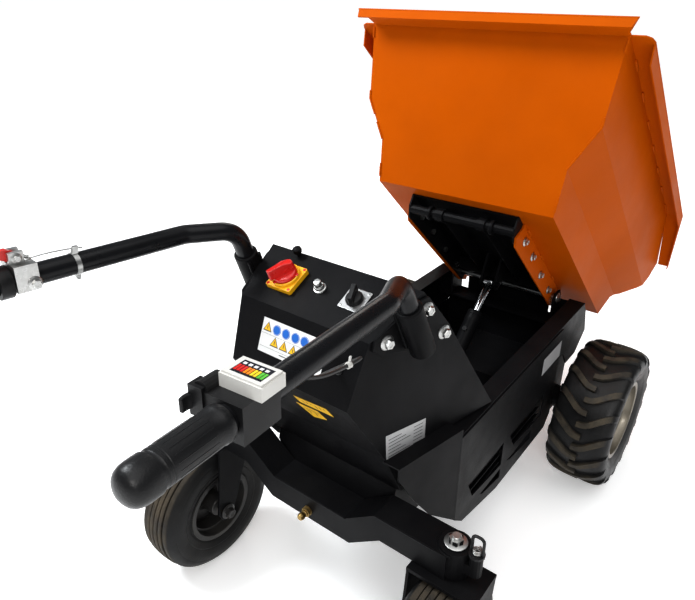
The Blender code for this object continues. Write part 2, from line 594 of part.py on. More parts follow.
RUN_MAIN, Y_MAIN = 0.064, 0.082
placed("switch_plate", panel_block(RUN_MAIN, Y_MAIN, 0.031, GAP, 0.014), YELLOW, 0.0, 0.4)
knob = joined(turned([(0.0, 0.0143), (0.026, 0.0143), (0.026, 0.022), (0.023, 0.030), (0.0, 0.030)],
                     on_panel(RUN_MAIN, Y_MAIN, 0.0), PANEL_UP, 20),
              add=[slab([on_panel(RUN_MAIN - 0.032, Y_MAIN - 0.008, 0.024),
                         on_panel(RUN_MAIN + 0.024, Y_MAIN - 0.011, 0.024),
                         on_panel(RUN_MAIN + 0.024, Y_MAIN + 0.011, 0.024),
                         on_panel(RUN_MAIN - 0.032, Y_MAIN + 0.008, 0.024)], PANEL_UP * 0.024)])
placed("main_switch", knob, RED, 0.0, 0.35, smooth=35)
RUN_START, Y_START = 0.068, 0.006
placed("start_button", joined(rod(on_panel(RUN_START, Y_START, GAP), on_panel(RUN_START, Y_START, 0.010), 0.011),
                              add=[rod(on_panel(RUN_START, Y_START, 0.009),
                                       on_panel(RUN_START, Y_START, 0.021), 0.0085)]),
       ZINC, 1.0, 0.3, smooth=35)
RUN_PICK, Y_PICK = 0.068, -0.074
selector = joined(panel_block(RUN_PICK, Y_PICK, 0.024, GAP, 0.004),
                  add=[rod(on_panel(RUN_PICK, Y_PICK, 0.003), on_panel(RUN_PICK, Y_PICK, 0.014), 0.016),
                       slab([on_panel(RUN_PICK - 0.018, Y_PICK - 0.0045, 0.010),
                             on_panel(RUN_PICK + 0.018, Y_PICK - 0.0045, 0.010),
                             on_panel(RUN_PICK + 0.018, Y_PICK + 0.0045, 0.010),
                             on_panel(RUN_PICK - 0.018, Y_PICK + 0.0045, 0.010)], PANEL_UP * 0.018)])
placed("selector_switch", selector, STEEL, 0.6, 0.4, smooth=35)

# ---- Skip: a folded sheet tub, open at the top, with a curved pouring nose and a flanged rim
def rim_v(u):
    return RIM_REAR_V + RIM_RISE * (u - RIM_REAR_U)


def half_y(u, v):
    """Outer half width of the tub: it widens upwards in three bands and a little towards the nose."""
    for (v0, y0), (v1, y1) in zip(BANDS, BANDS[1:]):
        if v <= v1:
            return y0 + (y1 - y0) * (v - v0) / (v1 - v0) + SPLAY * u
    return BANDS[-1][1] + SPLAY * u


def nose_u(v):
    """How far forward the front wall stands at v."""
    for (u0, v0), (u1, v1) in zip(NOSE, NOSE[1:]):
        if v <= v1:
            return u0 + (u1 - u0) * (v - v0) / (v1 - v0)
    return NOSE[-1][0]


def tub_solid(inset, floor):
    """The tub as a block, drawn in by inset from its walls and up to floor from its bottom."""
    levels = sorted({floor} | {v for _, v in NOSE[1:]} | {v for v, _ in BANDS[1:]})
    work = bmesh.new()
    rings = []
    for v in levels:
        rear, front = REAR_SLOPE * v + inset, nose_u(v) - inset
        rings.append([work.verts.new(skip_point(u, v, side * (half_y(u, v) - inset)))
                      for u, side in ((rear, 1), (front, 1), (front, -1), (rear, -1))])
    work.faces.new(rings[0])
    work.faces.new(rings[-1])
    for low, high in zip(rings, rings[1:]):
        for k in range(4):
            n = (k + 1) % 4
            work.faces.new((low[k], low[n], high[n], high[k]))
    return closed(work)


def skip_block(points, y0, y1):
    """A block with its side outline given as (u, v) points."""
    return slab([skip_point(u, v, y0) for u, v in points], (0.0, y1 - y0, 0.0))


def rim_spot(u, v, out, s):
    """A point standing out from the middle of a side wall."""
    return skip_point(u, v, s * (half_y(u, v) - SKIP_SHEET / 2 + out))


CORNER_V = rim_v(CORNER_U)
NOSE_TIP = NOSE[-1]
over = [(-0.6, rim_v(-0.6)), (CORNER_U, CORNER_V), NOSE_TIP, (1.0, NOSE_TIP[1] - 0.108), (1.0, 0.7),
        (-0.6, 0.7)]
tub = joined(tub_solid(0.0, 0.0), cut=[tub_solid(SKIP_SHEET, SKIP_SHEET), skip_block(over, -0.5, 0.5)])
wall_u = REAR_SLOPE * RIM_REAR_V
LAP = 0.0005          # how far a flange sinks into the wall that carries it
fall = Vector((NOSE_TIP[0] - CORNER_U, NOSE_TIP[1] - CORNER_V)).normalized()
flanges = []
for s in (1, -1):
    # Along the side: a flat flange with a rounded rear corner and a deep turned-down edge
    rear_u = wall_u + 0.004
    shelf = [(rear_u, 0.0), (CORNER_U, 0.0), (CORNER_U, RIM_W), (rear_u + 0.018, RIM_W),
             (rear_u + 0.006, RIM_W - 0.005),
             (rear_u, RIM_W - 0.016)]
    flanges.append(slab([rim_spot(u, rim_v(u) - LAP, out, s) for u, out in shelf], -V_DIR * SKIP_SHEET))
    drop = [(rear_u + 0.020, 2 * LAP), (CORNER_U - LAP, 2 * LAP), (CORNER_U - LAP, SIDE_DROP),
            (rear_u + 0.044, SIDE_DROP)]
    flanges.append(slab([skip_point(u, rim_v(u) - down, s * (half_y(u, rim_v(u)) + RIM_W - 0.002)) for u,
                         down in drop],
                        (0.0, -s * SKIP_SHEET, 0.0)))
    # Down to the nose: the same flange, narrower at its foot
    run = [(0.0, 0.0, 0.0), (1.0, 0.0, 0.0), (1.0, 0.0, RIM_W - 0.014), (0.0, 0.0, RIM_W)]
    foot = [skip_point(CORNER_U + (NOSE_TIP[0] - CORNER_U) * k, CORNER_V + (NOSE_TIP[1] - CORNER_V) * k - LAP,
                       s * (half_y(CORNER_U, CORNER_V) - SKIP_SHEET / 2 + out)) for k, _, out in run]
    flanges.append(slab(foot, (U_DIR * fall.y - V_DIR * fall.x) * SKIP_SHEET))
    flanges.append(slab([foot[3] - Vector((0.0, s * LAP, 0.0)), foot[2] - Vector((0.0, s * LAP, 0.0)),
                         foot[2] - V_DIR * 0.012 - Vector((0.0, s * LAP, 0.0)),
                         foot[3] - V_DIR * 0.022 - Vector((0.0, s * LAP, 0.0))], (0.0, -s * SKIP_SHEET, 0.0)))
end_in, end_out = half_y(wall_u, RIM_REAR_V) - 0.004, REAR_RIM_Y
flanges.append(slab([skip_point(u, RIM_REAR_V - LAP, y) for u, y in (
    (wall_u + 0.002, -end_in), (RIM_REAR_U, -end_out), (RIM_REAR_U, end_out), (wall_u + 0.002, end_in))],
    -V_DIR * SKIP_SHEET))
flanges.append(slab([skip_point(RIM_REAR_U + LAP, RIM_REAR_V - down, y) for down, y in (
    (2 * LAP, -end_out + 0.001), (2 * LAP, end_out - 0.001), (REAR_DROP, end_out - 0.008),
    (REAR_DROP, -end_out + 0.008))], U_DIR * SKIP_SHEET))
lip_half = half_y(*NOSE_TIP) - 0.006
flanges.append(skip_block([(NOSE_TIP[0] - 0.002, NOSE_TIP[1] - 0.010),
                           (NOSE_TIP[0] + 0.016, NOSE_TIP[1] - 0.006),
                           (NOSE_TIP[0] + 0.016, NOSE_TIP[1] - 0.003),
                           (NOSE_TIP[0] - 0.002, NOSE_TIP[1] - 0.007)],
                          -lip_half, lip_half))
placed("skip_tub", joined(tub, add=flanges), ORANGE, 0.0, 0.35, origin=HINGE)

# ---- Skip brackets, black cradle between them and the hinge shaft through all of it
BRACKET = [(0.0725, -GAP), (0.0725, -0.012), (0.056, -0.045), (0.073, -0.060), (0.490, -0.060),
           (0.540, -0.040),
           (0.528, -GAP)]
for word, s in SIDES:
    plate = skip_block(BRACKET, s * (BRACKET_Y - 0.002), s * (BRACKET_Y + 0.002))
    bore = rod(HINGE - Vector((0, 0.2, 0)), HINGE + Vector((0, 0.2, 0)), HINGE_R + GAP)
    placed("skip_bracket_" + word, joined(plate, cut=[bore]), ORANGE, 0.0, 0.35, origin=HINGE)
cradle_y = BRACKET_Y - 0.002 - GAP
top = skip_block([(0.035, -GAP), (0.515, -GAP), (0.515, -0.0045), (0.035, -0.0045)], -cradle_y, cradle_y)
parts = [skip_block([(0.035, -0.001), (0.515, -0.001), (0.500, -0.054), (0.060, -0.054), (0.040, -0.030)],
                    s * (cradle_y - 0.004), s * cradle_y) for s in (1, -1)]
parts += [skip_block([(0.070, -0.001), (0.440, -0.001), (0.425, -0.036), (0.090, -0.036)], s * 0.0545,
                     s * 0.0585)
          for s in (1, -1)]
parts += [rod(skip_point(0.056, -0.032, -cradle_y + 0.001), skip_point(0.056, -0.032, cradle_y - 0.001),
              0.012, 12)]
parts += [rod(skip_point(0.056, -0.032, s * 0.046), skip_point(0.056, -0.032, s * 0.067), 0.0165, 12)
          for s in (1, -1)]
parts += [skip_block([(0.430, -0.001), (0.436, -0.001), (0.436, -0.040), (0.430, -0.040)], -cradle_y + 0.001,
                     cradle_y - 0.001)]
parts += [skip_block([(EYE_U - 0.045, -0.002), (EYE_U + 0.045, -0.002), (EYE_U + 0.016, EYE_V - 0.010),
                      (EYE_U + 0.008, EYE_V - 0.016), (EYE_U - 0.008, EYE_V - 0.016),
                      (EYE_U - 0.016, EYE_V - 0.010)],
                     s * 0.018, s * 0.024) for s in (1, -1)]
parts += [rod(EYE + Vector((0, s * 0.0178, 0)), EYE + Vector((0, s * 0.0285, 0)), 0.0078, 12) for s in (1,
    -1)]
bores = [rod(HINGE - Vector((0, 0.2, 0)), HINGE + Vector((0, 0.2, 0)), HINGE_R + GAP)]
placed("tipping_cradle", joined(top, add=parts, cut=bores), BLACK, 0.3, 0.4, origin=HINGE, smooth=30)
hinge_w = BRACKET_Y + 0.017 + 0.004
placed("hinge_shaft", joined(rod(HINGE - Vector((0, hinge_w, 0)), HINGE + Vector((0, hinge_w, 0)), HINGE_R,
                                 14),
                             add=[rod(HINGE + Vector((0, s * (hinge_w - 0.003), 0)),
                                      HINGE + Vector((0, s * (hinge_w + 0.003), 0)), HINGE_R + 0.004, 6)
                                  for s in (1, -1)]), ZINC, 1.0, 0.35, origin=HINGE, smooth=35)

# ---- Lift cylinder
way = (EYE - BASE).normalized()
barrel_len = 0.298
rod_tail, bore_low = 0.205, 0.125
barrel = joined(rod(BASE + way * 0.016, BASE + way * barrel_len, BARREL_R, 20),
                add=[rod(BASE - Vector((0, 0.016, 0)), BASE + Vector((0, 0.016, 0)), 0.017, 18),
                     rod(BASE + way * (barrel_len - 0.030), BASE + way * (barrel_len + 0.004),
                         BARREL_R + 0.0012, 20)],
                cut=[rod(BASE + way * bore_low, BASE + way * (barrel_len + 0.02), ROD_R + RUN, 16),
                     rod(BASE - Vector((0, 0.05, 0)), BASE + Vector((0, 0.05, 0)), 0.0072 + RUN, 14)])
placed("cylinder_barrel", barrel, BLACK, 0.3, 0.4, origin=BASE, smooth=35)
shaft = joined(rod(EYE - way * rod_tail, EYE - way * 0.012, ROD_R, 16),
               add=[rod(EYE - Vector((0, 0.0125, 0)), EYE + Vector((0, 0.0125, 0)), 0.0155, 18)],
               cut=[rod(EYE - Vector((0, 0.05, 0)), EYE + Vector((0, 0.05, 0)), 0.007 + RUN, 14)])
placed("cylinder_rod", shaft, ZINC, 1.0, 0.12, origin=EYE, smooth=35)


# ---- Wheels
BEAD_SHARE = 0.80      # bead seat, as a share of the tyre's half width
WHEEL_SIDES = 28


def tyre(radius, width, bead, centre, crown, sides):
    half = width / 2
    seat = half * BEAD_SHARE
    profile = [(bead, -seat), (bead + 0.009, -seat), (bead + (radius - bead) * 0.30, -half * 0.96),
               (bead + (radius - bead) * 0.60, -half), (radius - crown, -half * 0.90),
               (radius - crown * 0.2, -half * 0.50)]
    profile += [(r, -h) for r, h in reversed(profile)]
    profile.insert(6, (radius, 0.0))
    return turned(profile, centre, (0, 1, 0), sides)


def barrel_side(bead, width, s):
    """The lip and bead seat of a rim, from the lip's outer corner inwards."""
    seat = width / 2 * BEAD_SHARE
    out = bead - GAP
    return [(out, s * (seat - 0.004)), (out, s * (seat + GAP)), (out + 0.0070, s * (seat + GAP)),
            (out + 0.0070, s * (seat + 0.0035)), (out - 0.004, s * (seat + 0.0035)),
            (out - 0.005, s * (seat - 0.012))]


def rim(bead, width, hub, bore, centre, side, dish, depth, sides):
    """A pressed wheel in one piece: barrel, lips, disc and hub. The disc stands dish out from the middle."""
    inner, outer = barrel_side(bead, width, -1), barrel_side(bead, width, 1)
    profile = inner + [(bead - 0.022, dish - 0.010), (hub + 0.018, dish - 0.004), (hub, dish - 0.006),
                       (hub - 0.004, dish - depth), (bore, dish - depth), (bore, dish + 0.012),
                       (hub - 0.003, dish + 0.012), (hub, dish), (hub + 0.018, dish + 0.001),
                       (bead - 0.021, dish - 0.005)] + list(reversed(outer))
    return turned(profile, centre, (0, side, 0), sides)


for word, s in SIDES:
    hub_at = Vector((DRIVE_X, s * DRIVE_Y, DRIVE_R))
    placed("drive_tyre_" + word, tyre(DRIVE_R, DRIVE_W, DRIVE_BEAD, hub_at, 0.018, WHEEL_SIDES), RUBBER, 0.0,
           0.85,
           origin=hub_at, smooth=40)
    placed("drive_rim_" + word, rim(DRIVE_BEAD, DRIVE_W, 0.036, 0.0150, hub_at, s, 0.014, 0.036, WHEEL_SIDES),
           STEEL, 0.8, 0.4,
           origin=hub_at, smooth=40)

# ---- Casters: each fork swivels on its own kingpin and trails behind it
for word, s in SIDES:
    king = Vector((KING_X, s * CASTER_Y, 0.0))
    hub_at = Vector((KING_X - TRAIL, s * CASTER_Y, CASTER_R))
    crown_top = KING_LOW - 0.003
    crown = side_slab([(KING_X + 0.036, crown_top), (KING_X + 0.036, crown_top - 0.008),
                       (KING_X - 0.052, crown_top - 0.008), (KING_X - 0.052, crown_top)],
                      s * CASTER_Y - 0.0705, s * CASTER_Y + 0.0705)
    blades = [side_slab([(KING_X + 0.036, crown_top - 0.0005), (KING_X + 0.030, crown_top - 0.050),
                         (hub_at.x + 0.026, CASTER_R + 0.004), (hub_at.x + 0.014, CASTER_R - 0.022),
                         (hub_at.x - 0.014, CASTER_R - 0.022), (hub_at.x - 0.026, CASTER_R + 0.004),
                         (KING_X - 0.058, crown_top - 0.060), (KING_X - 0.0515, crown_top - 0.0005)],
                        s * CASTER_Y + k * 0.0645, s * CASTER_Y + k * 0.0700) for k in (1, -1)]
    stem = rod((KING_X, s * CASTER_Y, crown_top - 0.004), (KING_X, s * CASTER_Y, KING_TOP + 0.004),
               KING_PIN_R, 16)
    washer = rod((KING_X, s * CASTER_Y, crown_top - 0.001), (KING_X, s * CASTER_Y, KING_LOW - RUN), 0.026, 20)
    nut = rod((KING_X, s * CASTER_Y, KING_TOP + 0.0012), (KING_X, s * CASTER_Y, KING_TOP + 0.013), 0.0145, 6)
    seat = rod((KING_X, s * CASTER_Y, KING_TOP + 0.0012), (KING_X, s * CASTER_Y, KING_TOP + 0.0035), 0.022,
               18)
    axle = rod((hub_at.x, s * CASTER_Y - 0.078, CASTER_R), (hub_at.x, s * CASTER_Y + 0.078, CASTER_R), 0.0085,
               12)
    ends = [rod((hub_at.x, s * CASTER_Y + k * 0.0697, CASTER_R),
                (hub_at.x, s * CASTER_Y + k * 0.0775, CASTER_R),
                0.014, 6) for k in (1, -1)]
    placed("caster_fork_" + word, joined(crown, add=blades + [stem, washer, seat, nut, axle] + ends), BLACK,
           0.3, 0.4,
           origin=king, smooth=35)
    placed("caster_tyre_" + word, tyre(CASTER_R, CASTER_W, CASTER_BEAD, hub_at, 0.012, WHEEL_SIDES), RUBBER,
           0.0, 0.8,
           origin=hub_at, smooth=40)
    placed("caster_rim_" + word, rim(CASTER_BEAD, CASTER_W, 0.026, 0.0092, hub_at, s, 0.006, 0.052,
                                     WHEEL_SIDES),
           (0.04, 0.04, 0.045), 0.5, 0.4, origin=hub_at, smooth=40)

# ---- The origin sits under the middle of the whole machine
bpy.context.view_layer.update()
graph = bpy.context.evaluated_depsgraph_get()
reach = []
for obj in scene.objects:
    shape = obj.evaluated_get(graph)
    mesh = shape.to_mesh()
    reach += [(shape.matrix_world @ v.co).x for v in mesh.vertices]
    shape.to_mesh_clear()
middle = (min(reach) + max(reach)) / 2
for obj in scene.objects:
    obj.location.x -= middle
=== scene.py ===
import json
import math
import random

import bmesh
import bpy
from mathutils import Matrix, Vector


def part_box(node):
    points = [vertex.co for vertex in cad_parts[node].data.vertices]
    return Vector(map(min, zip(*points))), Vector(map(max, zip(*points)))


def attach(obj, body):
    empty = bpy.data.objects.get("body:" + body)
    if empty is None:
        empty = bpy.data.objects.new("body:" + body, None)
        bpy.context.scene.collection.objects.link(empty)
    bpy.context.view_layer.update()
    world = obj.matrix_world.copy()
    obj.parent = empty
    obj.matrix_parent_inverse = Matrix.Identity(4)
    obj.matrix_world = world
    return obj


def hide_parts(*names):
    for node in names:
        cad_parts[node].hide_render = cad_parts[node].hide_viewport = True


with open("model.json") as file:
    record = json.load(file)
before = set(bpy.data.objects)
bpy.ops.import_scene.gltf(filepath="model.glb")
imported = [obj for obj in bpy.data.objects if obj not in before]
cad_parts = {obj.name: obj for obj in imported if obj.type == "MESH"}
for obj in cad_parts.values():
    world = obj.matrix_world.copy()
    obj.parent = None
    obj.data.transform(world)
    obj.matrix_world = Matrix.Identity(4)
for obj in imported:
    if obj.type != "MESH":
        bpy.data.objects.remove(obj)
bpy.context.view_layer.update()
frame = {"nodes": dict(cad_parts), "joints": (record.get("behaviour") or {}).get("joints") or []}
nodes = frame["nodes"]
scene = bpy.context.scene
SIDES = (("left", 1), ("right", -1))

# ---- Camera, floor and light. The machine stands on a plain pale studio floor under a soft ceiling
# light, with one strong soft lamp above its left side and two weaker ones, behind it and ahead.


def box_middle(name):
    """The middle of a CAD node's box."""
    lowest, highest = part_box(name)
    return (lowest + highest) / 2


drive_hub = box_middle("drive_tyre_right")
camera = bpy.data.cameras.new("camera")
camera.lens = 32.34
camera_rig = bpy.data.objects.new("camera", camera)
scene.collection.objects.link(camera_rig)
camera_rig.matrix_world = (Matrix.Translation(drive_hub + Vector((-1.585, -0.325, 1.125)))
    @ Matrix.Rotation(math.radians(38.115 - 90), 4, "Z")
    @ Matrix.Rotation(math.radians(90 - 27.594), 4, "X")
    @ Matrix.Rotation(math.radians(-0.461), 4, "Z"))
scene.camera = camera_rig


def soft_lamp(name, place, aim, size, watts, colour):
    """A round area lamp that points at a spot."""
    lamp = bpy.data.lights.new(name, "AREA")
    lamp.shape, lamp.size, lamp.energy, lamp.color = "DISK", size, watts, colour
    rig = bpy.data.objects.new(name, lamp)
    rig.location = place
    rig.rotation_euler = (Vector(aim) - Vector(place)).to_track_quat("-Z", "Y").to_euler()
    scene.collection.objects.link(rig)


soft_lamp("lamp_above", (-1.2, 1.9, 3.2), (0.0, 0.0, 0.6), 1.3, 105, (0.93, 0.97, 1.0))
soft_lamp("lamp_behind", (-2.8, -1.6, 2.6), (0.2, 0.0, 0.8), 1.0, 30, (1.0, 0.98, 0.95))
soft_lamp("lamp_front", (2.6, 2.0, 2.6), (0.2, 0.0, 0.5), 1.4, 20, (1.0, 0.97, 0.92))
sky = bpy.data.lights.new("ceiling", "SUN")
sky.energy, sky.angle = 2.1, math.radians(75)
sky_rig = bpy.data.objects.new("ceiling", sky)
sky_rig.rotation_euler = (math.radians(14), math.radians(-10), 0.0)
scene.collection.objects.link(sky_rig)
scene.view_settings.view_transform = "Standard"
scene.view_settings.gamma = 0.90

world = bpy.data.worlds.new("studio")
world.use_nodes = True
scene.world = world
tree = world.node_tree
room = tree.nodes["Background"]
room.inputs["Color"].default_value = (0.86, 0.90, 0.95, 1.0)
room.inputs["Strength"].default_value = 0.16
backdrop = tree.nodes.new("ShaderNodeBackground")
backdrop.inputs["Color"].default_value = (1.0, 1.0, 1.0, 1.0)
backdrop.inputs["Strength"].default_value = 1.1
seen = tree.nodes.new("ShaderNodeLightPath")
either = tree.nodes.new("ShaderNodeMixShader")
tree.links.new(seen.outputs["Is Camera Ray"], either.inputs["Fac"])
tree.links.new(room.outputs["Background"], either.inputs[1])
tree.links.new(backdrop.outputs["Background"], either.inputs[2])
tree.links.new(either.outputs["Shader"], tree.nodes["World Output"].inputs["Surface"])


def solid_piece(name, work, material, body="chassis", bevel=0.0, smooth=None, origin=None, steps=2):
    """Links one closed mesh as a piece that rides on a body of the machine."""
    bmesh.ops.recalc_face_normals(work, faces=work.faces[:])
    if origin is not None:
        bmesh.ops.translate(work, verts=work.verts[:], vec=-Vector(origin))
    mesh = bpy.data.meshes.new(name)
    work.to_mesh(mesh)
    work.free()
    piece = bpy.data.objects.new(name, mesh)
    scene.collection.objects.link(piece)
    if origin is not None:
        piece.location = origin
    mesh.materials.append(material)
    if smooth is not None:
        mesh.shade_smooth()
        mesh.set_sharp_from_angle(angle=math.radians(smooth))
    if bevel:
        edge = piece.modifiers.new("edge", "BEVEL")
        edge.width, edge.segments, edge.limit_method = bevel, steps, "ANGLE"
        edge.angle_limit, edge.harden_normals = math.radians(35), True
        mesh.shade_smooth()
    if body:
        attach(piece, body)
    return piece


def new_group(name, gives, **takes):
    """A shader node group that gives one value, and its input and output nodes."""
    group = bpy.data.node_groups.new(name, "ShaderNodeTree")
    for label, value in takes.items():
        socket = group.interface.new_socket(label, in_out="INPUT", socket_type="NodeSocketFloat")
        socket.default_value = value
    group.interface.new_socket(gives, in_out="OUTPUT", socket_type="NodeSocketFloat")
    return group, group.nodes.new("NodeGroupInput").outputs, group.nodes.new("NodeGroupOutput").inputs


def add(tree, kind, **values):
    """A node of that kind, with its plain settings and its sockets' values."""
    node = tree.nodes.new("ShaderNode" + kind)
    for key, value in values.items():
        if key.startswith("in_"):
            set_input(tree, node.inputs[int(key[3:])], value)
        else:
            setattr(node, key, value)
    return node


def set_input(tree, socket, value):
    """Links a socket to an output, or gives it a plain value."""
    if isinstance(value, bpy.types.NodeSocket):
        tree.links.new(value, socket)
    else:
        socket.default_value = value


def own_place(tree):
    """The piece's own coordinates."""
    return add(tree, "TexCoord").outputs["Object"]


def noise(tree, scale, detail, rough):
    """Cloudy noise over the piece's own coordinates."""
    return add(tree, "TexNoise", in_0=own_place(tree), in_2=scale, in_3=detail, in_4=rough).outputs["Fac"]


def spread(tree, value, low, high, to_low=0.0, to_high=1.0):
    """Stretches the range from low to high over a new range."""
    return add(tree, "MapRange", in_0=value, in_1=low, in_2=high, in_3=to_low,
        in_4=to_high).outputs["Result"]


def times(tree, a, b):
    """The product of two masks, kept between 0 and 1."""
    return add(tree, "Math", operation="MULTIPLY", use_clamp=True, in_0=a, in_1=b).outputs["Value"]


blotches, takes, gives = new_group("blotches", "Value", Scale=6.0, Low=0.0, High=1.0)
cloud = noise(blotches, takes["Scale"], 5.0, 0.6)
set_input(blotches, gives["Value"], spread(blotches, cloud, 0.34, 0.66, takes["Low"], takes["High"]))

floor_mat = bpy.data.materials.new("floor")
floor_mat.use_nodes = True
tree = floor_mat.node_tree
shader = tree.nodes["Principled BSDF"]
shader.inputs["Base Color"].default_value = (0.96, 0.96, 0.96, 1.0)
shader.inputs["Roughness"].default_value = 0.65
shader.inputs["Emission Color"].default_value = (1.0, 1.0, 1.0, 1.0)
shader.inputs["Emission Strength"].default_value = 0.34
work = bmesh.new()
bmesh.ops.create_grid(work, x_segments=4, y_segments=4, size=60)
floor = solid_piece("floor", work, floor_mat, body=None)

# ---- Finish of the folded steel sheets: satin black powder coat with a faint orange peel.
# Its edges are rubbed a little lighter, and dust settles where the sheets face upwards.
worn_edge, takes, gives = new_group("worn_edge", "Mask", Radius=0.004, Breakup=30.0, Amount=0.5)
rounded = add(worn_edge, "Bevel", samples=4, in_0=takes["Radius"]).outputs["Normal"]
facing = add(worn_edge, "NewGeometry").outputs["Normal"]
turn = add(worn_edge, "VectorMath", operation="DOT_PRODUCT", in_0=rounded, in_1=facing).outputs["Value"]
chips = spread(worn_edge, noise(worn_edge, takes["Breakup"], 6.0, 0.7), 0.40, 0.62, 0.15)
rubbed = times(worn_edge, spread(worn_edge, turn, 0.995, 0.86), chips)
set_input(worn_edge, gives["Mask"], times(worn_edge, rubbed, takes["Amount"]))

dust_film, takes, gives = new_group("dust_film", "Mask", Scale=9.0, Amount=0.3)
facing = add(dust_film, "SeparateXYZ", in_0=add(dust_film, "NewGeometry").outputs["Normal"]).outputs["Z"]
patches = spread(dust_film, noise(dust_film, takes["Scale"], 7.0, 0.65), 0.38, 0.72)
settled = times(dust_film, spread(dust_film, facing, -0.2, 1.0, 0.15), patches)
set_input(dust_film, gives["Mask"], times(dust_film, settled, takes["Amount"]))

peel, takes, gives = new_group("peel", "Height", Scale=300.0, Waviness=0.5)
broad = times(peel, noise(peel, 7.0, 2.0, 0.5), takes["Waviness"])
total = add(peel, "Math", operation="ADD", in_0=noise(peel, takes["Scale"], 2.0, 0.5), in_1=broad)
set_input(peel, gives["Height"], total.outputs["Value"])

hairlines, takes, gives = new_group("hairlines", "Mask", Scale=14.0, Amount=0.3)
lines = []
for turned, tall in (((0.3, 0.5, 0.2), 34.0), ((1.2, -0.4, 1.9), 41.0)):
    slant = add(hairlines, "Mapping", in_0=own_place(hairlines), in_2=turned, in_3=(1.0, tall, 1.0))
    thin = add(hairlines, "TexNoise", in_0=slant.outputs["Vector"], in_2=takes["Scale"], in_3=1.0, in_4=0.4)
    lines.append(spread(hairlines, thin.outputs["Fac"], 0.70, 0.76))
most = add(hairlines, "Math", operation="MAXIMUM", in_0=lines[0], in_1=lines[1]).outputs["Value"]
set_input(hairlines, gives["Mask"], times(hairlines, most, takes["Amount"]))


def use(tree, group, **values):
    """The value of a group placed in a material, with that material's own numbers."""
    node = tree.nodes.new("ShaderNodeGroup")
    node.node_tree = group
    for label, value in values.items():
        node.inputs[label].default_value = value
    return node.outputs[0]


def tint(tree, mask, below, above):
    """Mixes one colour over another by a mask. Each colour is a plain value or a socket."""
    mix = add(tree, "Mix", data_type="RGBA")
    tree.links.new(mask, mix.inputs["Factor"])
    for label, colour in (("A", below), ("B", above)):
        socket = [i for i in mix.inputs if i.name == label and i.type == "RGBA"][0]
        if isinstance(colour, tuple):
            socket.default_value = (*colour, 1.0)
        else:
            tree.links.new(colour, socket)
    return [o for o in mix.outputs if o.type == "RGBA"][0]


def surface(name, colour, deep, rough, metal=0.0, grain=300.0, relief=0.0002, waviness=0.5, wear=0.0,
        wear_colour=(0.2, 0.2, 0.2), wear_width=0.003, dust=0.0, dust_colour=(0.22, 0.19, 0.15), coat=0.0,
        scratch=0.0, blotch=6.0, sheen=0.0, shine=0.5, mask=None, mask_colour=(0, 0, 0), mask_rough=0.9):
    """A finish: two close shades in blotches, a fine grain, rubbed edges, hairline scratches and dust."""
    made = bpy.data.materials.new(name)
    made.use_nodes = True
    tree = made.node_tree
    shader = tree.nodes["Principled BSDF"]
    for label, value in (("Metallic", metal), ("Coat Weight", coat), ("Coat Roughness", 0.08),
            ("Sheen Weight", sheen), ("Specular IOR Level", shine)):
        shader.inputs[label].default_value = value
    tone = tint(tree, use(tree, blotches, Scale=blotch, Low=0.0, High=1.0), colour, deep)
    rough_out = use(tree, blotches, Scale=blotch * 2.3, Low=rough[0], High=rough[1])
    if scratch:
        tone = tint(tree, use(tree, hairlines, Amount=scratch), tone, wear_colour)
    if wear:
        tone = tint(tree, use(tree, worn_edge, Radius=wear_width, Amount=wear), tone, wear_colour)
    films = [(use(tree, dust_film, Amount=dust), dust_colour, 0.85)] if dust else []
    films += [(mask(tree), mask_colour, mask_rough)] if mask else []
    for film, film_colour, film_rough in films:
        tone = tint(tree, film, tone, film_colour)
        rough_out = spread(tree, film, 0.0, 1.0, rough_out, film_rough)
    height = use(tree, peel, Scale=grain, Waviness=waviness)
    bump = add(tree, "Bump", in_0=1.0, in_1=relief)
    tree.links.new(height, bump.inputs["Height"])
    tree.links.new(tone, shader.inputs["Base Color"])
    tree.links.new(rough_out, shader.inputs["Roughness"])
    tree.links.new(bump.outputs["Normal"], shader.inputs["Normal"])
    return made


black_coat = surface("black_powder_coat", (0.0042, 0.0042, 0.0048), (0.0070, 0.0070, 0.0080), (0.36, 0.48),
    grain=420, relief=0.00025, wear=0.30, wear_colour=(0.030, 0.030, 0.033), wear_width=0.0022, dust=0.07,
    dust_colour=(0.050, 0.045, 0.040), scratch=0.06, shine=0.07)


def finish_node(name, material, bevel=0.0008, steps=2, angle=30):
    """A carried-over CAD node with its real finish and its edges slightly broken."""
    piece = nodes[name]
    piece.data.materials.clear()
    piece.data.materials.append(material)
    if bevel:
        edge = piece.modifiers.new("edge", "BEVEL")
        edge.width, edge.segments, edge.limit_method = bevel, steps, "ANGLE"
        edge.angle_limit, edge.harden_normals = math.radians(angle), True
        piece.data.shade_smooth()
        piece.data.set_sharp_from_angle(angle=math.radians(50))


for name in ("side_cover_left", "side_cover_right", "rail_left", "rail_right", "front_cross_plate",
        "belly_pan", "rear_panel", "console"):
    finish_node(name, black_coat)


AXLE_X = 0.44


def at(x, y, z):
    """A point of the machine: x forward from AXLE_X behind the driven axle, y to the left, z up."""
    return Vector((drive_hub.x - AXLE_X + x, y, z))


MM = 0.001


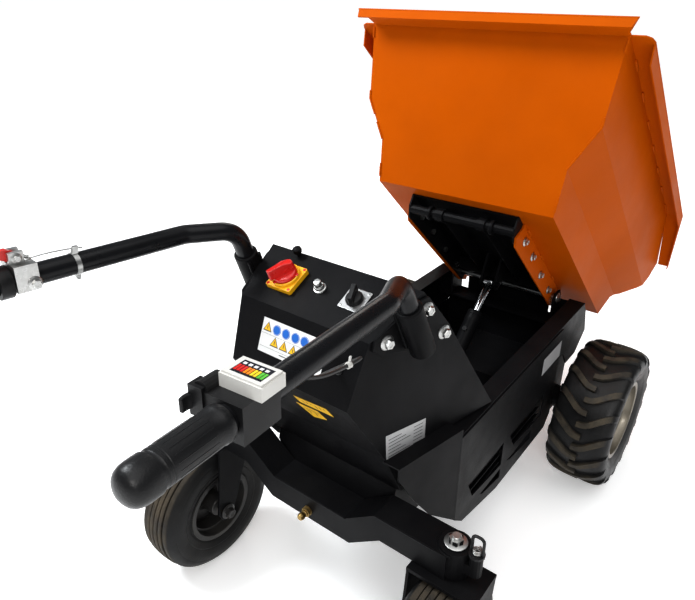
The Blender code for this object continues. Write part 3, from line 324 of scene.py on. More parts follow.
def turned_solid(work, profile, centre, axis, sides=32, ring=False):
    """A turned body from (radius, distance along the axis) pairs in mm; ring closes it on itself."""
    centre, axis = Vector(centre), Vector(axis).normalized()
    side = axis.orthogonal().normalized()
    over = axis.cross(side)
    rows = []
    for r, t in ((r * MM, t * MM) for r, t in profile):
        if r < 1e-6:
            rows.append([work.verts.new(centre + axis * t)])
            continue
        rows.append([work.verts.new(centre + axis * t + (side * math.cos(a) + over * math.sin(a)) * r)
            for a in (math.tau * k / sides for k in range(sides))])
    pairs = list(zip(rows, rows[1:])) + ([(rows[-1], rows[0])] if ring else [])
    for near, far in pairs:
        for k in range(sides):
            n = (k + 1) % sides
            if len(near) == 1 and len(far) == 1:
                break
            if len(near) == 1:
                work.faces.new((near[0], far[k], far[n]))
            elif len(far) == 1:
                work.faces.new((near[k], near[n], far[0]))
            else:
                work.faces.new((near[k], near[n], far[n], far[k]))


def hex_bolt(work, spot, out, size):
    """A flanged hexagon bolt head, size being half its width across the corners in mm."""
    turned_solid(work, [(0, 0), (size * 1.5, 0), (size * 1.5, size * 0.16), (size * 1.1, size * 0.42),
        (0, size * 0.42)], spot, out, 24)
    turned_solid(work, [(0, size * 0.3), (size, size * 0.3), (size, size * 1.1), (size * 0.86, size * 1.25),
        (size * 0.55, size * 1.25), (size * 0.5, size * 1.16), (0, size * 1.16)], spot, out, 6)


def bent_plate(work, points, thick):
    """A flat plate from its outline, thick being the vector through it."""
    near = [work.verts.new(p) for p in points]
    far = [work.verts.new(Vector(p) + Vector(thick)) for p in points]
    work.faces.new(near)
    work.faces.new(far)
    for k in range(len(points)):
        n = (k + 1) % len(points)
        work.faces.new((near[k], near[n], far[n], far[k]))


def tube_along(work, points, radius, sides=20, taper=1.0):
    """A round bar that follows the points."""
    points = [Vector(p) for p in points]
    rows, side = [], None
    for i, p in enumerate(points):
        way = (points[min(i + 1, len(points) - 1)] - points[max(i - 1, 0)]).normalized()
        side = way.orthogonal() if side is None else side - way * side.dot(way)
        side.normalize()
        over = way.cross(side)
        r = radius * (1 + (taper - 1) * i / (len(points) - 1))
        rows.append([work.verts.new(p + (side * math.cos(a) + over * math.sin(a)) * r)
            for a in (math.tau * k / sides for k in range(sides))])
    for near, far in zip(rows, rows[1:]):
        for k in range(sides):
            n = (k + 1) % sides
            work.faces.new((near[k], near[n], far[n], far[k]))
    work.faces.new(rows[0])
    work.faces.new(rows[-1])


def eased(points, radius, steps=8):
    """The points of a bent bar, each corner rounded to that radius."""
    points = [Vector(p) for p in points]
    out = [points[0]]
    for before, corner, after in zip(points, points[1:], points[2:]):
        a, b = (before - corner).normalized(), (after - corner).normalized()
        half = a.angle(b) / 2
        reach = min(radius / math.tan(half), (before - corner).length * 0.48,
            (after - corner).length * 0.48)
        for k in range(steps + 1):
            t = k / steps
            out.append(corner + a * reach * (1 - t) ** 2 + b * reach * t ** 2)
    return out + [points[-1]]


def smooth_way(points, steps=6):
    """One smooth curve through the points."""
    points = [Vector(p) for p in points]
    ends = [2 * points[0] - points[1]] + points + [2 * points[-1] - points[-2]]
    out = []
    for a, b, c, d in zip(ends, ends[1:], ends[2:], ends[3:]):
        for k in range(steps):
            t = k / steps
            out.append((2 * b + (c - a) * t + (2 * a - 5 * b + 4 * c - d) * t * t
                + (3 * b - a - 3 * c + d) * t ** 3) / 2)
    return out + [points[-1]]


# ---- Bright zinc-plated screws, pins and nuts. The plating has fine crystal flakes and dulls in
# blotches; every head is a flanged hexagon screwed through a plate into a welded nut.
flakes, takes, gives = new_group("flakes", "Value", Scale=260.0, Low=0.0, High=1.0)
cell = add(flakes, "TexVoronoi", in_0=own_place(flakes), in_2=takes["Scale"]).outputs["Color"]
shade = add(flakes, "SeparateXYZ", in_0=cell).outputs["X"]
set_input(flakes, gives["Value"], spread(flakes, shade, 0.0, 1.0, takes["Low"], takes["High"]))
zinc = surface("zinc_plate", (0.60, 0.60, 0.59), (0.40, 0.41, 0.41), (0.20, 0.38), metal=1.0, grain=900,
    relief=0.00008, wear=0.5, wear_colour=(0.80, 0.80, 0.78), wear_width=0.001, dust=0.15,
    mask=lambda tree: use(tree, flakes, Low=0.0, High=0.35), mask_colour=(0.42, 0.42, 0.40), mask_rough=0.5)

CHEEK_TURN = math.radians(13.0)
CON_HALF, CON_TAPER = 0.2508, math.tan(CHEEK_TURN)


def cheek(x, z, out, s):
    """A point standing out from the console's tapered side."""
    return at(x, s * (CON_HALF + CON_TAPER * x + out), z)


for word, s in SIDES:
    work = bmesh.new()
    away = Vector((-math.sin(CHEEK_TURN), s * math.cos(CHEEK_TURN), 0.0))
    for x, z in ((-0.306, 0.808), (-0.260, 0.745), (-0.398, 0.777)):
        hex_bolt(work, cheek(x, z, 0.0052, s), away, 9.5)
    solid_piece("cheek_bolts_" + word, work, zinc, smooth=35)

# ---- Vents: four slanted bars behind each opening of the side covers, folded from thin black
# sheet, with a flat screen inside them that keeps splashes off the battery.
for word, s in SIDES:
    work = bmesh.new()
    for x0, x1 in ((-0.150, 0.010), (0.065, 0.255)):
        for z in (0.222, 0.246, 0.270, 0.294):
            left = x0 + (0.05 if z < 0.24 else 0.0)
            bent_plate(work, [at(left, s * 0.2185, z), at(x1, s * 0.2185, z), at(x1, s * 0.2305, z + 0.010),
                at(left, s * 0.2305, z + 0.010)], (0, 0, 0.0022))
    solid_piece("vent_bars_" + word, work, black_coat, bevel=0.0006)
    work = bmesh.new()
    bent_plate(work, [at(x, s * 0.2150, z) for x, z in ((-0.175, 0.206), (0.330, 0.206), (0.330, 0.330),
        (-0.175, 0.330))], (0, s * 0.0010, 0))
    solid_piece("vent_screen_" + word, work, black_coat, bevel=0.0003)

# ---- Axle shade sheet: a folded black sheet over the driven axle, lapped behind the front cross plate, as
# painted shade. With its two turned-up sides it closes the frame under the rails, so its inside shows dark.
work = bmesh.new()
SHADE_SHEET = [(0.278, 0.188), (0.278, 0.302), (0.4955, 0.302), (0.4955, 0.402)]
inside = [(0.4975, 0.402), (0.4975, 0.300), (0.280, 0.300), (0.280, 0.188)]
bent_plate(work, [at(x, -0.194, z) for x, z in SHADE_SHEET + inside], (0, 0.388, 0))
for s in (1, -1):
    bent_plate(work, [at(x, s * 0.194, z) for x, z in ((0.279, 0.3005), (0.4965, 0.3005), (0.4965, 0.3825),
        (0.279, 0.3825))], (0, s * -0.0015, 0))
solid_piece("axle_shade_sheet", work, black_coat, bevel=0.0005)

# ---- Data plate on the right cheek: brushed foil with plain dark rules where a maker would print,
# held by four small domed rivets.
grey_plate = surface("printed_foil", (0.50, 0.50, 0.50), (0.42, 0.42, 0.43), (0.30, 0.42), metal=0.3,
    grain=500, relief=0.00006, wear=0.3, wear_colour=(0.65, 0.65, 0.65), wear_width=0.0008, scratch=0.2)
ink_black = surface("print_black", (0.02, 0.02, 0.02), (0.035, 0.035, 0.035), (0.4, 0.5), grain=600,
    relief=0.00003)
ink_white = surface("print_white", (0.80, 0.80, 0.79), (0.72, 0.72, 0.72), (0.28, 0.36), grain=500,
    relief=0.00004, dust=0.12)
ink_yellow = surface("print_yellow", (0.86, 0.52, 0.015), (0.78, 0.45, 0.012), (0.30, 0.40), grain=500,
    relief=0.00004, dust=0.10)
ink_blue = surface("print_blue", (0.015, 0.14, 0.52), (0.012, 0.11, 0.44), (0.30, 0.40), grain=500,
    relief=0.00004)
ink_red = surface("print_red", (0.62, 0.02, 0.02), (0.50, 0.02, 0.02), (0.30, 0.40), grain=500,
    relief=0.00004)


def cheek_sheet(work, corners, lift, s, thick=0.0006):
    """A thin sheet lying on the console's side."""
    bent_plate(work, [cheek(x, z, lift, s) for x, z in corners], (0, s * thick, 0))


work = bmesh.new()
cheek_sheet(work, [(-0.389, 0.568), (-0.286, 0.558), (-0.286, 0.502), (-0.386, 0.507)], 0.0002, -1)
solid_piece("data_plate", work, grey_plate, bevel=0.0003)
work = bmesh.new()
for row in range(6):
    z = 0.556 - row * 0.0082
    cheek_sheet(work, [(-0.382, z), (-0.350 + 0.012 * (row % 3), z - 0.0012),
        (-0.350 + 0.012 * (row % 3), z - 0.0026), (-0.382, z - 0.0014)], 0.0009, -1, 0.0002)
    cheek_sheet(work, [(-0.318, z - 0.003), (-0.294, z - 0.0042), (-0.294, z - 0.0056),
        (-0.318, z - 0.0044)], 0.0009, -1, 0.0002)
solid_piece("data_plate_rules", work, ink_black)
work = bmesh.new()
for x, z in ((-0.385, 0.563), (-0.290, 0.554), (-0.290, 0.506), (-0.383, 0.511)):
    turned_solid(work, [(0, 0), (2.2, 0), (1.8, 0.9), (0.8, 1.4), (0, 1.5)], cheek(x, z, 0.0008, -1),
        (0, -1, 0), 14)
solid_piece("data_plate_rivets", work, zinc, smooth=40)

HOOD = [(-0.084, 0.499), (-0.240, 0.752), (-0.310, 0.842), (-0.430, 0.785), (-0.478, 0.668),
    (-0.386, 0.507)]


def hood_face(k, run, y, lift):
    """A point on the hood's k-th bent face: run down it from its upper bend, y across, lift off it."""
    (x0, z0), (x1, z1) = HOOD[k], HOOD[k + 1]
    way = Vector((x1 - x0, 0.0, z1 - z0)).normalized()
    out = Vector((way.z, 0.0, -way.x))
    return at(x0, y, z0) + way * run + out * lift


def face_sheet(work, k, corners, lift, thick=0.0006):
    """A thin printed sheet on a face, its corners given as (run, y)."""
    through = hood_face(k, 0, 0, thick) - hood_face(k, 0, 0, 0)
    bent_plate(work, [hood_face(k, run, y, lift) for run, y in corners], through)


# ---- Pictogram sheet: white film on the hood's rear face, printed with a row of a warning triangle,
# four blue discs and a red ring, and below it a row of four triangles between thin rules.
work = bmesh.new()
face_sheet(work, 3, [(0.024, 0.083), (0.024, -0.070), (0.089, -0.070), (0.089, 0.083)], 0.0002)
solid_piece("pictogram_sheet", work, ink_white, bevel=0.0003)
yellow, black, blue, red, white = (bmesh.new() for _ in range(5))
for run, y in [(0.040, 0.069)] + [(0.064, y) for y in (0.046, 0.0232, 0.0004, -0.0224)]:
    for work, size, lift in ((black, 0.0105, 0.0009), (yellow, 0.0082, 0.0012)):
        face_sheet(work, 3, [(run - size, y), (run + size * 0.75, y - size), (run + size * 0.75, y + size)],
            lift, 0.0002)
    face_sheet(black, 3, [(run - 0.003, y + 0.0008), (run - 0.003, y - 0.0008), (run + 0.0035, y - 0.0006),
        (run + 0.0035, y + 0.0006)], 0.0015, 0.0001)
out = (hood_face(3, 0, 0, 1) - hood_face(3, 0, 0, 0)).normalized()
for y in (0.0466, 0.0240, 0.0010, -0.0208):
    turned_solid(blue, [(0, 0), (9.8, 0), (9.8, 0.3), (0, 0.3)], hood_face(3, 0.0400, y, 0.0009), out, 28)
    turned_solid(white, [(8.4, 0), (8.9, 0), (8.9, 0.2), (8.4, 0.2)], hood_face(3, 0.0400, y, 0.0013), out,
        28, ring=True)
turned_solid(red, [(7.8, 0), (10, 0), (10, 0.3), (7.8, 0.3)], hood_face(3, 0.0400, -0.0441, 0.0009), out,
    28, ring=True)
face_sheet(red, 3, [(0.0335, -0.0383), (0.0345, -0.0373), (0.0465, -0.0499), (0.0455, -0.0509)], 0.0009,
    0.0003)
for run in (0.0525, 0.0775):
    face_sheet(black, 3, [(run, 0.081), (run, -0.068), (run + 0.0004, -0.068), (run + 0.0004, 0.081)],
        0.0009, 0.0001)
face_sheet(black, 3, [(0.0815, 0.030), (0.0815, -0.016), (0.0830, -0.016), (0.0830, 0.030)], 0.0009, 0.0001)
for name, work, ink in (("pictogram_yellow", yellow, ink_yellow), ("pictogram_black", black, ink_black),
        ("pictogram_blue", blue, ink_blue), ("pictogram_red", red, ink_red),
        ("pictogram_white", white, ink_white)):
    solid_piece(name, work, ink)

# ---- Hazard strips: three yellow film strips on the undercut face, each with thin dark bars across
# it. They are cut by hand to slanting outlines and stuck on.
strips, bars = bmesh.new(), bmesh.new()
for corners in ([(0.050, 0.007), (0.036, -0.079), (0.063, -0.086), (0.070, 0.000)],
        [(0.084, 0.018), (0.077, -0.040), (0.104, -0.052), (0.126, -0.010)],
        [(0.040, 0.104), (0.036, 0.062), (0.060, 0.050), (0.070, 0.094)]):
    face_sheet(strips, 4, corners, 0.0002)
    (r0, y0), (r1, y1), (r2, y2), (r3, y3) = corners
    for k in range(7):
        t = 0.08 + k * 0.13
        a, b = (r0 + (r1 - r0) * t, y0 + (y1 - y0) * t), (r3 + (r2 - r3) * t, y3 + (y2 - y3) * t)
        low_in, high_in = 0.22, 0.22 + 0.5 * ((k * 5) % 3 + 1) / 3
        p, q = [(a[0] + (b[0] - a[0]) * w, a[1] + (b[1] - a[1]) * w) for w in (low_in, high_in)]
        face_sheet(bars, 4, [p, (p[0], p[1] - 0.0014), (q[0], q[1] - 0.0014), q], 0.0009, 0.0001)
solid_piece("hazard_strips", strips, ink_yellow, bevel=0.0003)
solid_piece("hazard_bars", bars, ink_black)

# ---- Side signs: a blank foil plate near the front of each side cover, and on the hood's top edge
# the black knob that holds the hood shut.
for word, s in SIDES:
    work = bmesh.new()
    bent_plate(work, [at(x, s * 0.2352, z) for x, z in ((0.215, 0.452), (0.335, 0.452), (0.335, 0.404),
        (0.215, 0.404))], (0, s * 0.0006, 0))
    solid_piece("side_sign_" + word, work, grey_plate, bevel=0.0003)

work = bmesh.new()
turned_solid(work, [(0, 0), (4.5, 0), (4.5, 8), (8.5, 10), (9.5, 14), (8.5, 19), (5, 21.5), (0, 22)],
    at(-0.316, 0.102, 0.8385), (-0.43, 0, 0.90), 24)
solid_piece("hood_knob", work, black_coat, smooth=40)

# ---- Control panel. A red rotary isolator with its grip stands on a yellow plate, then a bright
# push button in a collar and a black rotary selector on a square silver plate with four screws.
gloss_red = surface("red_moulding", (0.60, 0.012, 0.008), (0.48, 0.010, 0.008), (0.22, 0.34), grain=260,
    relief=0.00008, wear=0.25, wear_colour=(0.75, 0.12, 0.10), wear_width=0.0012, coat=0.2)
gloss_yellow = surface("yellow_moulding", (0.84, 0.43, 0.006), (0.76, 0.37, 0.006), (0.26, 0.38), grain=260,
    relief=0.00008, wear=0.25, wear_colour=(0.9, 0.6, 0.1), wear_width=0.0012, coat=0.1)
black_moulding = surface("black_moulding", (0.0065, 0.0065, 0.0072), (0.0100, 0.0100, 0.0108), (0.36, 0.50),
    grain=700, relief=0.0002, wear=0.25, wear_colour=(0.035, 0.035, 0.035), wear_width=0.001, dust=0.07,
    dust_colour=(0.06, 0.055, 0.05), shine=0.25)
silver_plate = surface("silver_plate", (0.52, 0.52, 0.51), (0.42, 0.42, 0.42), (0.28, 0.42), metal=0.8,
    grain=500, relief=0.00006, scratch=0.25, wear=0.4, wear_colour=(0.7, 0.7, 0.7), wear_width=0.001)
panel_way = (at(-0.310, 0, 0.842) - at(-0.430, 0, 0.785)).normalized()
panel_up = Vector((-panel_way.z, 0.0, panel_way.x))


def on_panel(middle, run, across, lift):
    """A point over a control: run down the panel, across it, and lifted off it."""
    return middle + panel_way * run + Vector((0, across, 0)) + panel_up * lift


def node_middle(name):
    """Where a control stands on the panel's own surface, under the middle of its CAD node."""
    middle = box_middle(name)
    return middle - panel_up * (middle - at(-0.430, 0, 0.785)).dot(panel_up)


def squircle(half, corner, steps=5):
    """A square outline with rounded corners."""
    out = []
    for q in range(4):
        for k in range(steps + 1):
            a = math.radians(90 * q + 90 * k / steps)
            out.append(((half - corner) * (1 if q in (0, 3) else -1) + corner * math.cos(a),
                (half - corner) * (1 if q in (0, 1) else -1) + corner * math.sin(a)))
    return out


middle = node_middle("switch_plate")
work = bmesh.new()
bent_plate(work, [on_panel(middle, a, b, 0.0004) for a, b in squircle(0.0305, 0.004)], panel_up * 0.0105)
turned_solid(work, [(0, 10), (28.5, 10), (28.5, 16), (27.2, 17.8), (25.5, 17.8), (25.5, 15), (0, 15)],
    middle, panel_up, 48)
plate = solid_piece("switch_plate_moulding", work, gloss_yellow, bevel=0.0012)
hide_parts("switch_plate")
work = bmesh.new()
for turn_deg in (45, 165, 285):
    a = math.radians(turn_deg)
    turned_solid(work, [(0, 0), (4.2, 0), (4.2, 1.2), (3, 1.6), (0, 1.6)],
        on_panel(middle, 0.0245 * math.cos(a), 0.0245 * math.sin(a), 0.0172), panel_up, 18)
for a, b in ((0.0262, -0.0255), (-0.0262, -0.0255), (-0.0262, 0.0255)):
    turned_solid(work, [(0, 0), (3.2, 0), (3.2, 0.8), (0, 0.8)],
        on_panel(middle, a, b, 0.0105), panel_up, 16)
solid_piece("switch_marks", work, gloss_red, bevel=0.0003)
work = bmesh.new()
turned_solid(work, [(0, 15), (23.8, 15), (23.8, 20), (22.2, 23.2), (18.5, 24.4), (0, 24.4)],
    middle, panel_up, 48)
grip_outline = [(-0.0310, 0.0040), (-0.0300, 0.0062), (-0.012, 0.0074), (0.004, 0.0082), (0.0175, 0.0105),
    (0.0222, 0.0080), (0.0235, 0.0)]
grip_outline += [(a, -b) for a, b in reversed(grip_outline[:-1])]
swing = Matrix.Rotation(math.radians(-28), 3, panel_up)
foot = [swing @ (on_panel(middle, a, b, 0.0235) - middle) + middle for a, b in grip_outline]
top = [swing @ (on_panel(middle, a * 0.94, b * 0.74, 0.0450 - 0.006 * max(0.0, a / 0.0235)) - middle)
    + middle for a, b in grip_outline]
lower, upper = [work.verts.new(p) for p in foot], [work.verts.new(p) for p in top]
work.faces.new(lower)
work.faces.new(upper)
for k in range(len(foot)):
    n = (k + 1) % len(foot)
    work.faces.new((lower[k], lower[n], upper[n], upper[k]))
knob = solid_piece("switch_grip", work, gloss_red, bevel=0.0018, steps=3)
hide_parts("main_switch")

middle = node_middle("start_button")
work = bmesh.new()
turned_solid(work, [(0, 0.4), (12.5, 0.4), (13, 1.8), (12.2, 4), (10, 4.6), (9.4, 10.5), (8.8, 11.2),
    (7.8, 11.2), (7.8, 10), (0, 10)], middle, panel_up, 36)
turned_solid(work, [(0, 9.6), (7.4, 9.6), (7.4, 19.6), (6.6, 20.8), (3, 21.2), (0, 21.2)],
    middle, panel_up, 36)
button = solid_piece("push_button", work, zinc, smooth=35)
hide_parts("start_button")

middle = node_middle("selector_switch")
work = bmesh.new()
bent_plate(work, [on_panel(middle, a, b, 0.0004) for a, b in squircle(0.0240, 0.0025)], panel_up * 0.0028)
plate = solid_piece("selector_plate", work, silver_plate, bevel=0.0006)
work = bmesh.new()
turned_solid(work, [(0, 3), (16.8, 3), (16.8, 8), (15, 12), (12, 13.5), (0, 13.5)], middle, panel_up, 40)
turning = Matrix.Rotation(math.radians(20), 3, panel_up)
wing = [turning @ (on_panel(middle, a, b, 0.010) - middle) + middle
    for a, b in ((-0.0175, -0.0045), (0.0175, -0.0045), (0.0175, 0.0045), (-0.0175, 0.0045))]
bent_plate(work, wing, panel_up * 0.0165)
knob = solid_piece("selector_knob", work, black_moulding, bevel=0.0012, steps=3)
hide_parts("selector_switch")
work = bmesh.new()
for a, b in ((0.019, 0.019), (-0.019, 0.019), (0.019, -0.019), (-0.019, -0.019)):
    turned_solid(work, [(0, 0), (2.6, 0), (2.4, 0.9), (0, 1.3)],
        on_panel(middle, a, b, 0.0032), panel_up, 16)
solid_piece("selector_screws", work, zinc, smooth=40)
work = bmesh.new()
for k in range(5):
    a = math.radians(-60 + 30 * k)
    p = on_panel(middle, 0.0188 * math.cos(a), 0.0188 * math.sin(a), 0.0032)
    turned_solid(work, [(0, 0), (0.9, 0), (0.9, 0.2), (0, 0.2)], p, panel_up, 10)
solid_piece("selector_dots", work, ink_black)

# ---- Handles: round steel tube bent twice, its foot pushed into a welded sleeve on a plate that
# is bolted to the console's cheek. All of it is coated with the frame.
tube_coat = surface("tube_coat", (0.0048, 0.0050, 0.0060), (0.0080, 0.0085, 0.0100), (0.24, 0.36),
    grain=380, relief=0.00018, wear=0.20, wear_colour=(0.035, 0.035, 0.038), wear_width=0.0018, dust=0.05,
    dust_colour=(0.055, 0.050, 0.044), scratch=0.08, coat=0.04, shine=0.20)
GRIP_END, BEND_A = (-0.950, 0.265, 0.932), (-0.488, 0.225, 0.908)
TUBE_OUT = 0.0003 + 0.005 + 0.0235 - 0.0015


def handle_point(s, along, across=0.0, up=0.0):
    """A point by the straight rear part of a handle, along it from its rear end."""
    start, bend = at(GRIP_END[0], s * GRIP_END[1], GRIP_END[2]), at(BEND_A[0], s * BEND_A[1], BEND_A[2])
    way = (bend - start).normalized()
    out = Vector((-way.y, way.x, 0.0)).normalized() * s
    return start + way * along + out * across + way.cross(out) * s * up


for word, s in SIDES:
    bend_b = at(-0.398, s * (CON_HALF - CON_TAPER * 0.398 + TUBE_OUT), 0.897)
    foot = at(-0.340, s * (CON_HALF - CON_TAPER * 0.340 + TUBE_OUT), 0.752)
    down = (foot - bend_b).normalized()
    work = bmesh.new()
    tube_along(work, eased([handle_point(s, 0.012), at(BEND_A[0], s * BEND_A[1], BEND_A[2]), bend_b,
        foot - down * 0.01], 0.052, 12), 0.0175, 32)
    tube = solid_piece("handle_tube_" + word, work, tube_coat, smooth=40)
    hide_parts("handlebar_" + word)
    work = bmesh.new()
    low_end = (foot - bend_b).length / MM
    sleeve = [(0, 58), (17.6, 58), (20.5, 57.5), (23.3, 59.5), (23.5, 62), (23.5, low_end + 4),
        (22.8, low_end + 6), (0, low_end + 6)]
    turned_solid(work, sleeve, bend_b, down, 36)
    outline = [(-0.428, 0.770), (-0.405, 0.752), (-0.385, 0.750), (-0.335, 0.735), (-0.262, 0.727),
        (-0.238, 0.742), (-0.244, 0.754), (-0.303, 0.832), (-0.330, 0.829), (-0.4235, 0.790)]
    bent_plate(work, [cheek(x, z, 0.0003, s) for x, z in outline], (0, s * 0.005, 0))
    solid_piece("handle_socket_" + word, work, black_coat, bevel=0.001)
    work = bmesh.new()
    for side_step in (-1, 1):
        weld = []
        for k in range(26):
            p = bend_b + down * (0.066 + 0.0034 * k)
            edge_x = Vector((-down.z, 0, down.x)) * side_step
            weld.append(Vector((p.x, 0, p.z)) + edge_x * (0.0150 + 0.0006 * math.sin(k * 2.1))
                + Vector((0, p.y - s * 0.0212, 0)))
        tube_along(work, weld, 0.0034, 10)
    solid_piece("socket_welds_" + word, work, black_coat, smooth=60)

# ---- Grips: soft black rubber sleeves with a domed end, one groove behind the dome and a bead
# at the front. They are pushed over the tube.
soft_rubber = surface("grip_rubber", (0.0060, 0.0062, 0.0070), (0.0095, 0.0095, 0.0105), (0.30, 0.42),
    grain=520, relief=0.00025, waviness=0.2, wear=0.2, wear_colour=(0.03, 0.03, 0.03), wear_width=0.0016,
    dust=0.07, dust_colour=(0.06, 0.055, 0.05), sheen=0.02, shine=0.3)
GRIP_LEN = 124.0
for word, s in SIDES:
    start = handle_point(s, 0.0)
    way = handle_point(s, 1.0) - start
    work = bmesh.new()
    dome = [(0, -4), (6, -3.6), (12, -2), (16.8, 1), (20, 5), (21.8, 10), (22.5, 16), (22.5, 29),
        (22.1, 30.5), (20.5, 31.2), (20.3, 33), (20.3, 35), (20.7, 36.2), (21.4, 36.8), (21.4, 40),
        (20.6, 40.8), (20.6, 42.4), (21.3, 43.2)]
    tail = [(21.3, 100), (21.3, GRIP_LEN - 12), (22.3, GRIP_LEN - 10), (22.3, GRIP_LEN - 3),
        (21.2, GRIP_LEN - 0.5), (19.2, GRIP_LEN), (18, GRIP_LEN - 2), (18, 10), (0, 10)]
    turned_solid(work, dome + tail, start, way, 48)
    for k in range(16):
        a = math.tau * k / 16
        spin = Matrix.Rotation(a, 3, way)
        ridge = spin @ (handle_point(s, 0.0, 0.0215) - start)
        tube_along(work, [start + way * (0.048 + 0.0125 * j)
            + ridge * (0.978 + 0.006 * math.sin(math.pi * j / 4)) for j in range(5)], 0.0006, 6)
    grip = solid_piece("grip_sleeve_" + word, work, soft_rubber, smooth=38)
    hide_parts("grip_" + word)

# ---- Thumb throttle: a black moulded clamp on the right handle with a thumb paddle inside it and
# a white battery gauge on top, whose dark window shows coloured segments. A thin cable leaves it.
finish_node("throttle_pod", black_moulding, 0.0050, 4)
middle_line = smooth_way([(0.1500, -0.0300, 0.0), (0.1425, -0.0410, 0.0), (0.1330, -0.0470, 0.0),
    (0.1230, -0.0500, 0.0), (0.1140, -0.0490, 0.0)], 5)
outer, inner = [], []
for i, p in enumerate(middle_line):
    way = middle_line[min(i + 1, len(middle_line) - 1)] - middle_line[max(i - 1, 0)]
    out = Vector((-way.y, way.x, 0.0)).normalized()
    thick = 0.0052 - 0.0026 * i / (len(middle_line) - 1)
    outer.append(p + out * thick)
    inner.append(p - out * thick)
work = bmesh.new()
bent_plate(work, [handle_point(-1, p.x, p.y, -0.004) for p in outer + inner[::-1]],
    handle_point(-1, 0, 0, 0.018) - handle_point(-1, 0, 0, 0))
paddle = solid_piece("thumb_paddle", work, black_moulding, bevel=0.0022, steps=3)
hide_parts("thumb_lever")
white_moulding = surface("white_moulding", (0.70, 0.69, 0.66), (0.60, 0.59, 0.56), (0.34, 0.46), grain=420,
    relief=0.00012, wear=0.2, wear_colour=(0.8, 0.8, 0.78), wear_width=0.001, dust=0.18,
    dust_colour=(0.35, 0.32, 0.27))
finish_node("battery_gauge", white_moulding, 0.0028, 3)
dark_window = surface("dark_window", (0.012, 0.012, 0.016), (0.02, 0.02, 0.03), (0.06, 0.12), grain=90,
    relief=0.00003, coat=0.6)


def gauge_patch(work, along, across, lift, thick=0.0004):
    """A thin rectangle on the gauge's face."""
    (a0, a1), (c0, c1) = along, across
    bent_plate(work, [handle_point(-1, a, c, lift) for a, c in ((a0, c0), (a1, c0), (a1, c1), (a0, c1))],
        handle_point(-1, 0, 0, thick) - handle_point(-1, 0, 0, 0))


work = bmesh.new()
gauge_patch(work, (0.155, 0.180), (-0.016, 0.026), 0.0404)
solid_piece("gauge_window", work, dark_window, bevel=0.0003)
segments = {"red": ((0.62, 0.02, 0.015), -0.0145, 3), "orange": ((0.85, 0.25, 0.01), -0.0010, 2),
    "yellow": ((0.85, 0.62, 0.02), 0.0080, 2), "green": ((0.10, 0.50, 0.04), 0.0170, 2)}
for word, (colour, first, count) in segments.items():
    paint = surface("segment_" + word, colour, tuple(c * 0.8 for c in colour), (0.20, 0.30), grain=300,
        relief=0.00003)
    work = bmesh.new()
    for k in range(count):
        across = first + 0.0045 * k
        gauge_patch(work, (0.1585, 0.1700), (across, across + 0.0034), 0.0408, 0.0003)
    solid_piece("gauge_" + word, work, paint)
work = bmesh.new()
for k in range(5):
    gauge_patch(work, (0.1725, 0.1765), (-0.013 + 0.0075 * k, -0.0085 + 0.0075 * k), 0.0408, 0.0002)
solid_piece("gauge_marks", work, ink_white)
work = bmesh.new()
for along, across in ((0.138, 0.012), (0.138, -0.012), (0.184, 0.012), (0.184, -0.012)):
    spot, out = (handle_point(-1, along, across, -0.0262),
        handle_point(-1, 0, 0, -1) - handle_point(-1, 0, 0, 0))
    turned_solid(work, [(0, 0), (4, 0), (4, 2), (3, 2.6), (1.6, 2.6), (1.6, 1), (0, 1)], spot, out, 20)
solid_piece("throttle_screws", work, zinc, smooth=35)

# ---- Throttle cable: a thin black sheath from the clamp to the console's rear face, with a rubber
# boot at each end and one white clip that ties it up.
cable_skin = surface("cable_sheath", (0.016, 0.016, 0.017), (0.026, 0.026, 0.026), (0.32, 0.46), grain=900,
    relief=0.0001, dust=0.1)
face, face_out = at(-0.454, -0.105, 0.7265), Vector((-0.117, 0.0, 0.048)).normalized()
route = [handle_point(-1, 0.1903, -0.034, -0.010), handle_point(-1, 0.212, -0.034, -0.012),
    handle_point(-1, 0.245, -0.034, -0.024), handle_point(-1, 0.290, -0.034, -0.046),
    handle_point(-1, 0.345, -0.033, -0.072), handle_point(-1, 0.400, -0.033, -0.086),
    handle_point(-1, 0.448, -0.034, -0.093), face + face_out * 0.052 + Vector((0, 0, -0.004)),
    face + face_out * 0.022, face + face_out * 0.0003]
work = bmesh.new()
line = smooth_way(route, 8)
tube_along(work, line, 0.003, 14)
cable = solid_piece("throttle_lead", work, cable_skin, smooth=60)
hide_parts("throttle_cable")
work = bmesh.new()
turned_solid(work, [(0, 0), (5.2, 0), (5.2, 4), (4.4, 6), (4.4, 8), (3.8, 10), (3.4, 18), (0, 18)],
    route[0], line[2] - line[0], 20)
turned_solid(work, [(0, 0), (7.5, 0), (7.5, 3), (5.6, 4), (4.6, 10), (3.8, 18), (0, 18)], route[-1],
    face_out, 20)
solid_piece("cable_boots", work, soft_rubber, smooth=40)
work = bmesh.new()
clip = line[len(line) * 58 // 100]
way = (line[len(line) * 58 // 100 + 1] - clip).normalized()
turned_solid(work, [(3.1, -4), (5.2, -4), (5.2, 4), (3.1, 4)], clip, way, 20, ring=True)
bent_plate(work, [clip + Vector((0, 0.0015, 0.0045)), clip + Vector((0.003, 0.0015, 0.0045)),
    clip + Vector((0.006, 0.0015, 0.0130)), clip + Vector((0.002, 0.0015, 0.0130))], (0, -0.003, 0))
solid_piece("cable_clip", work, white_moulding, bevel=0.0006)

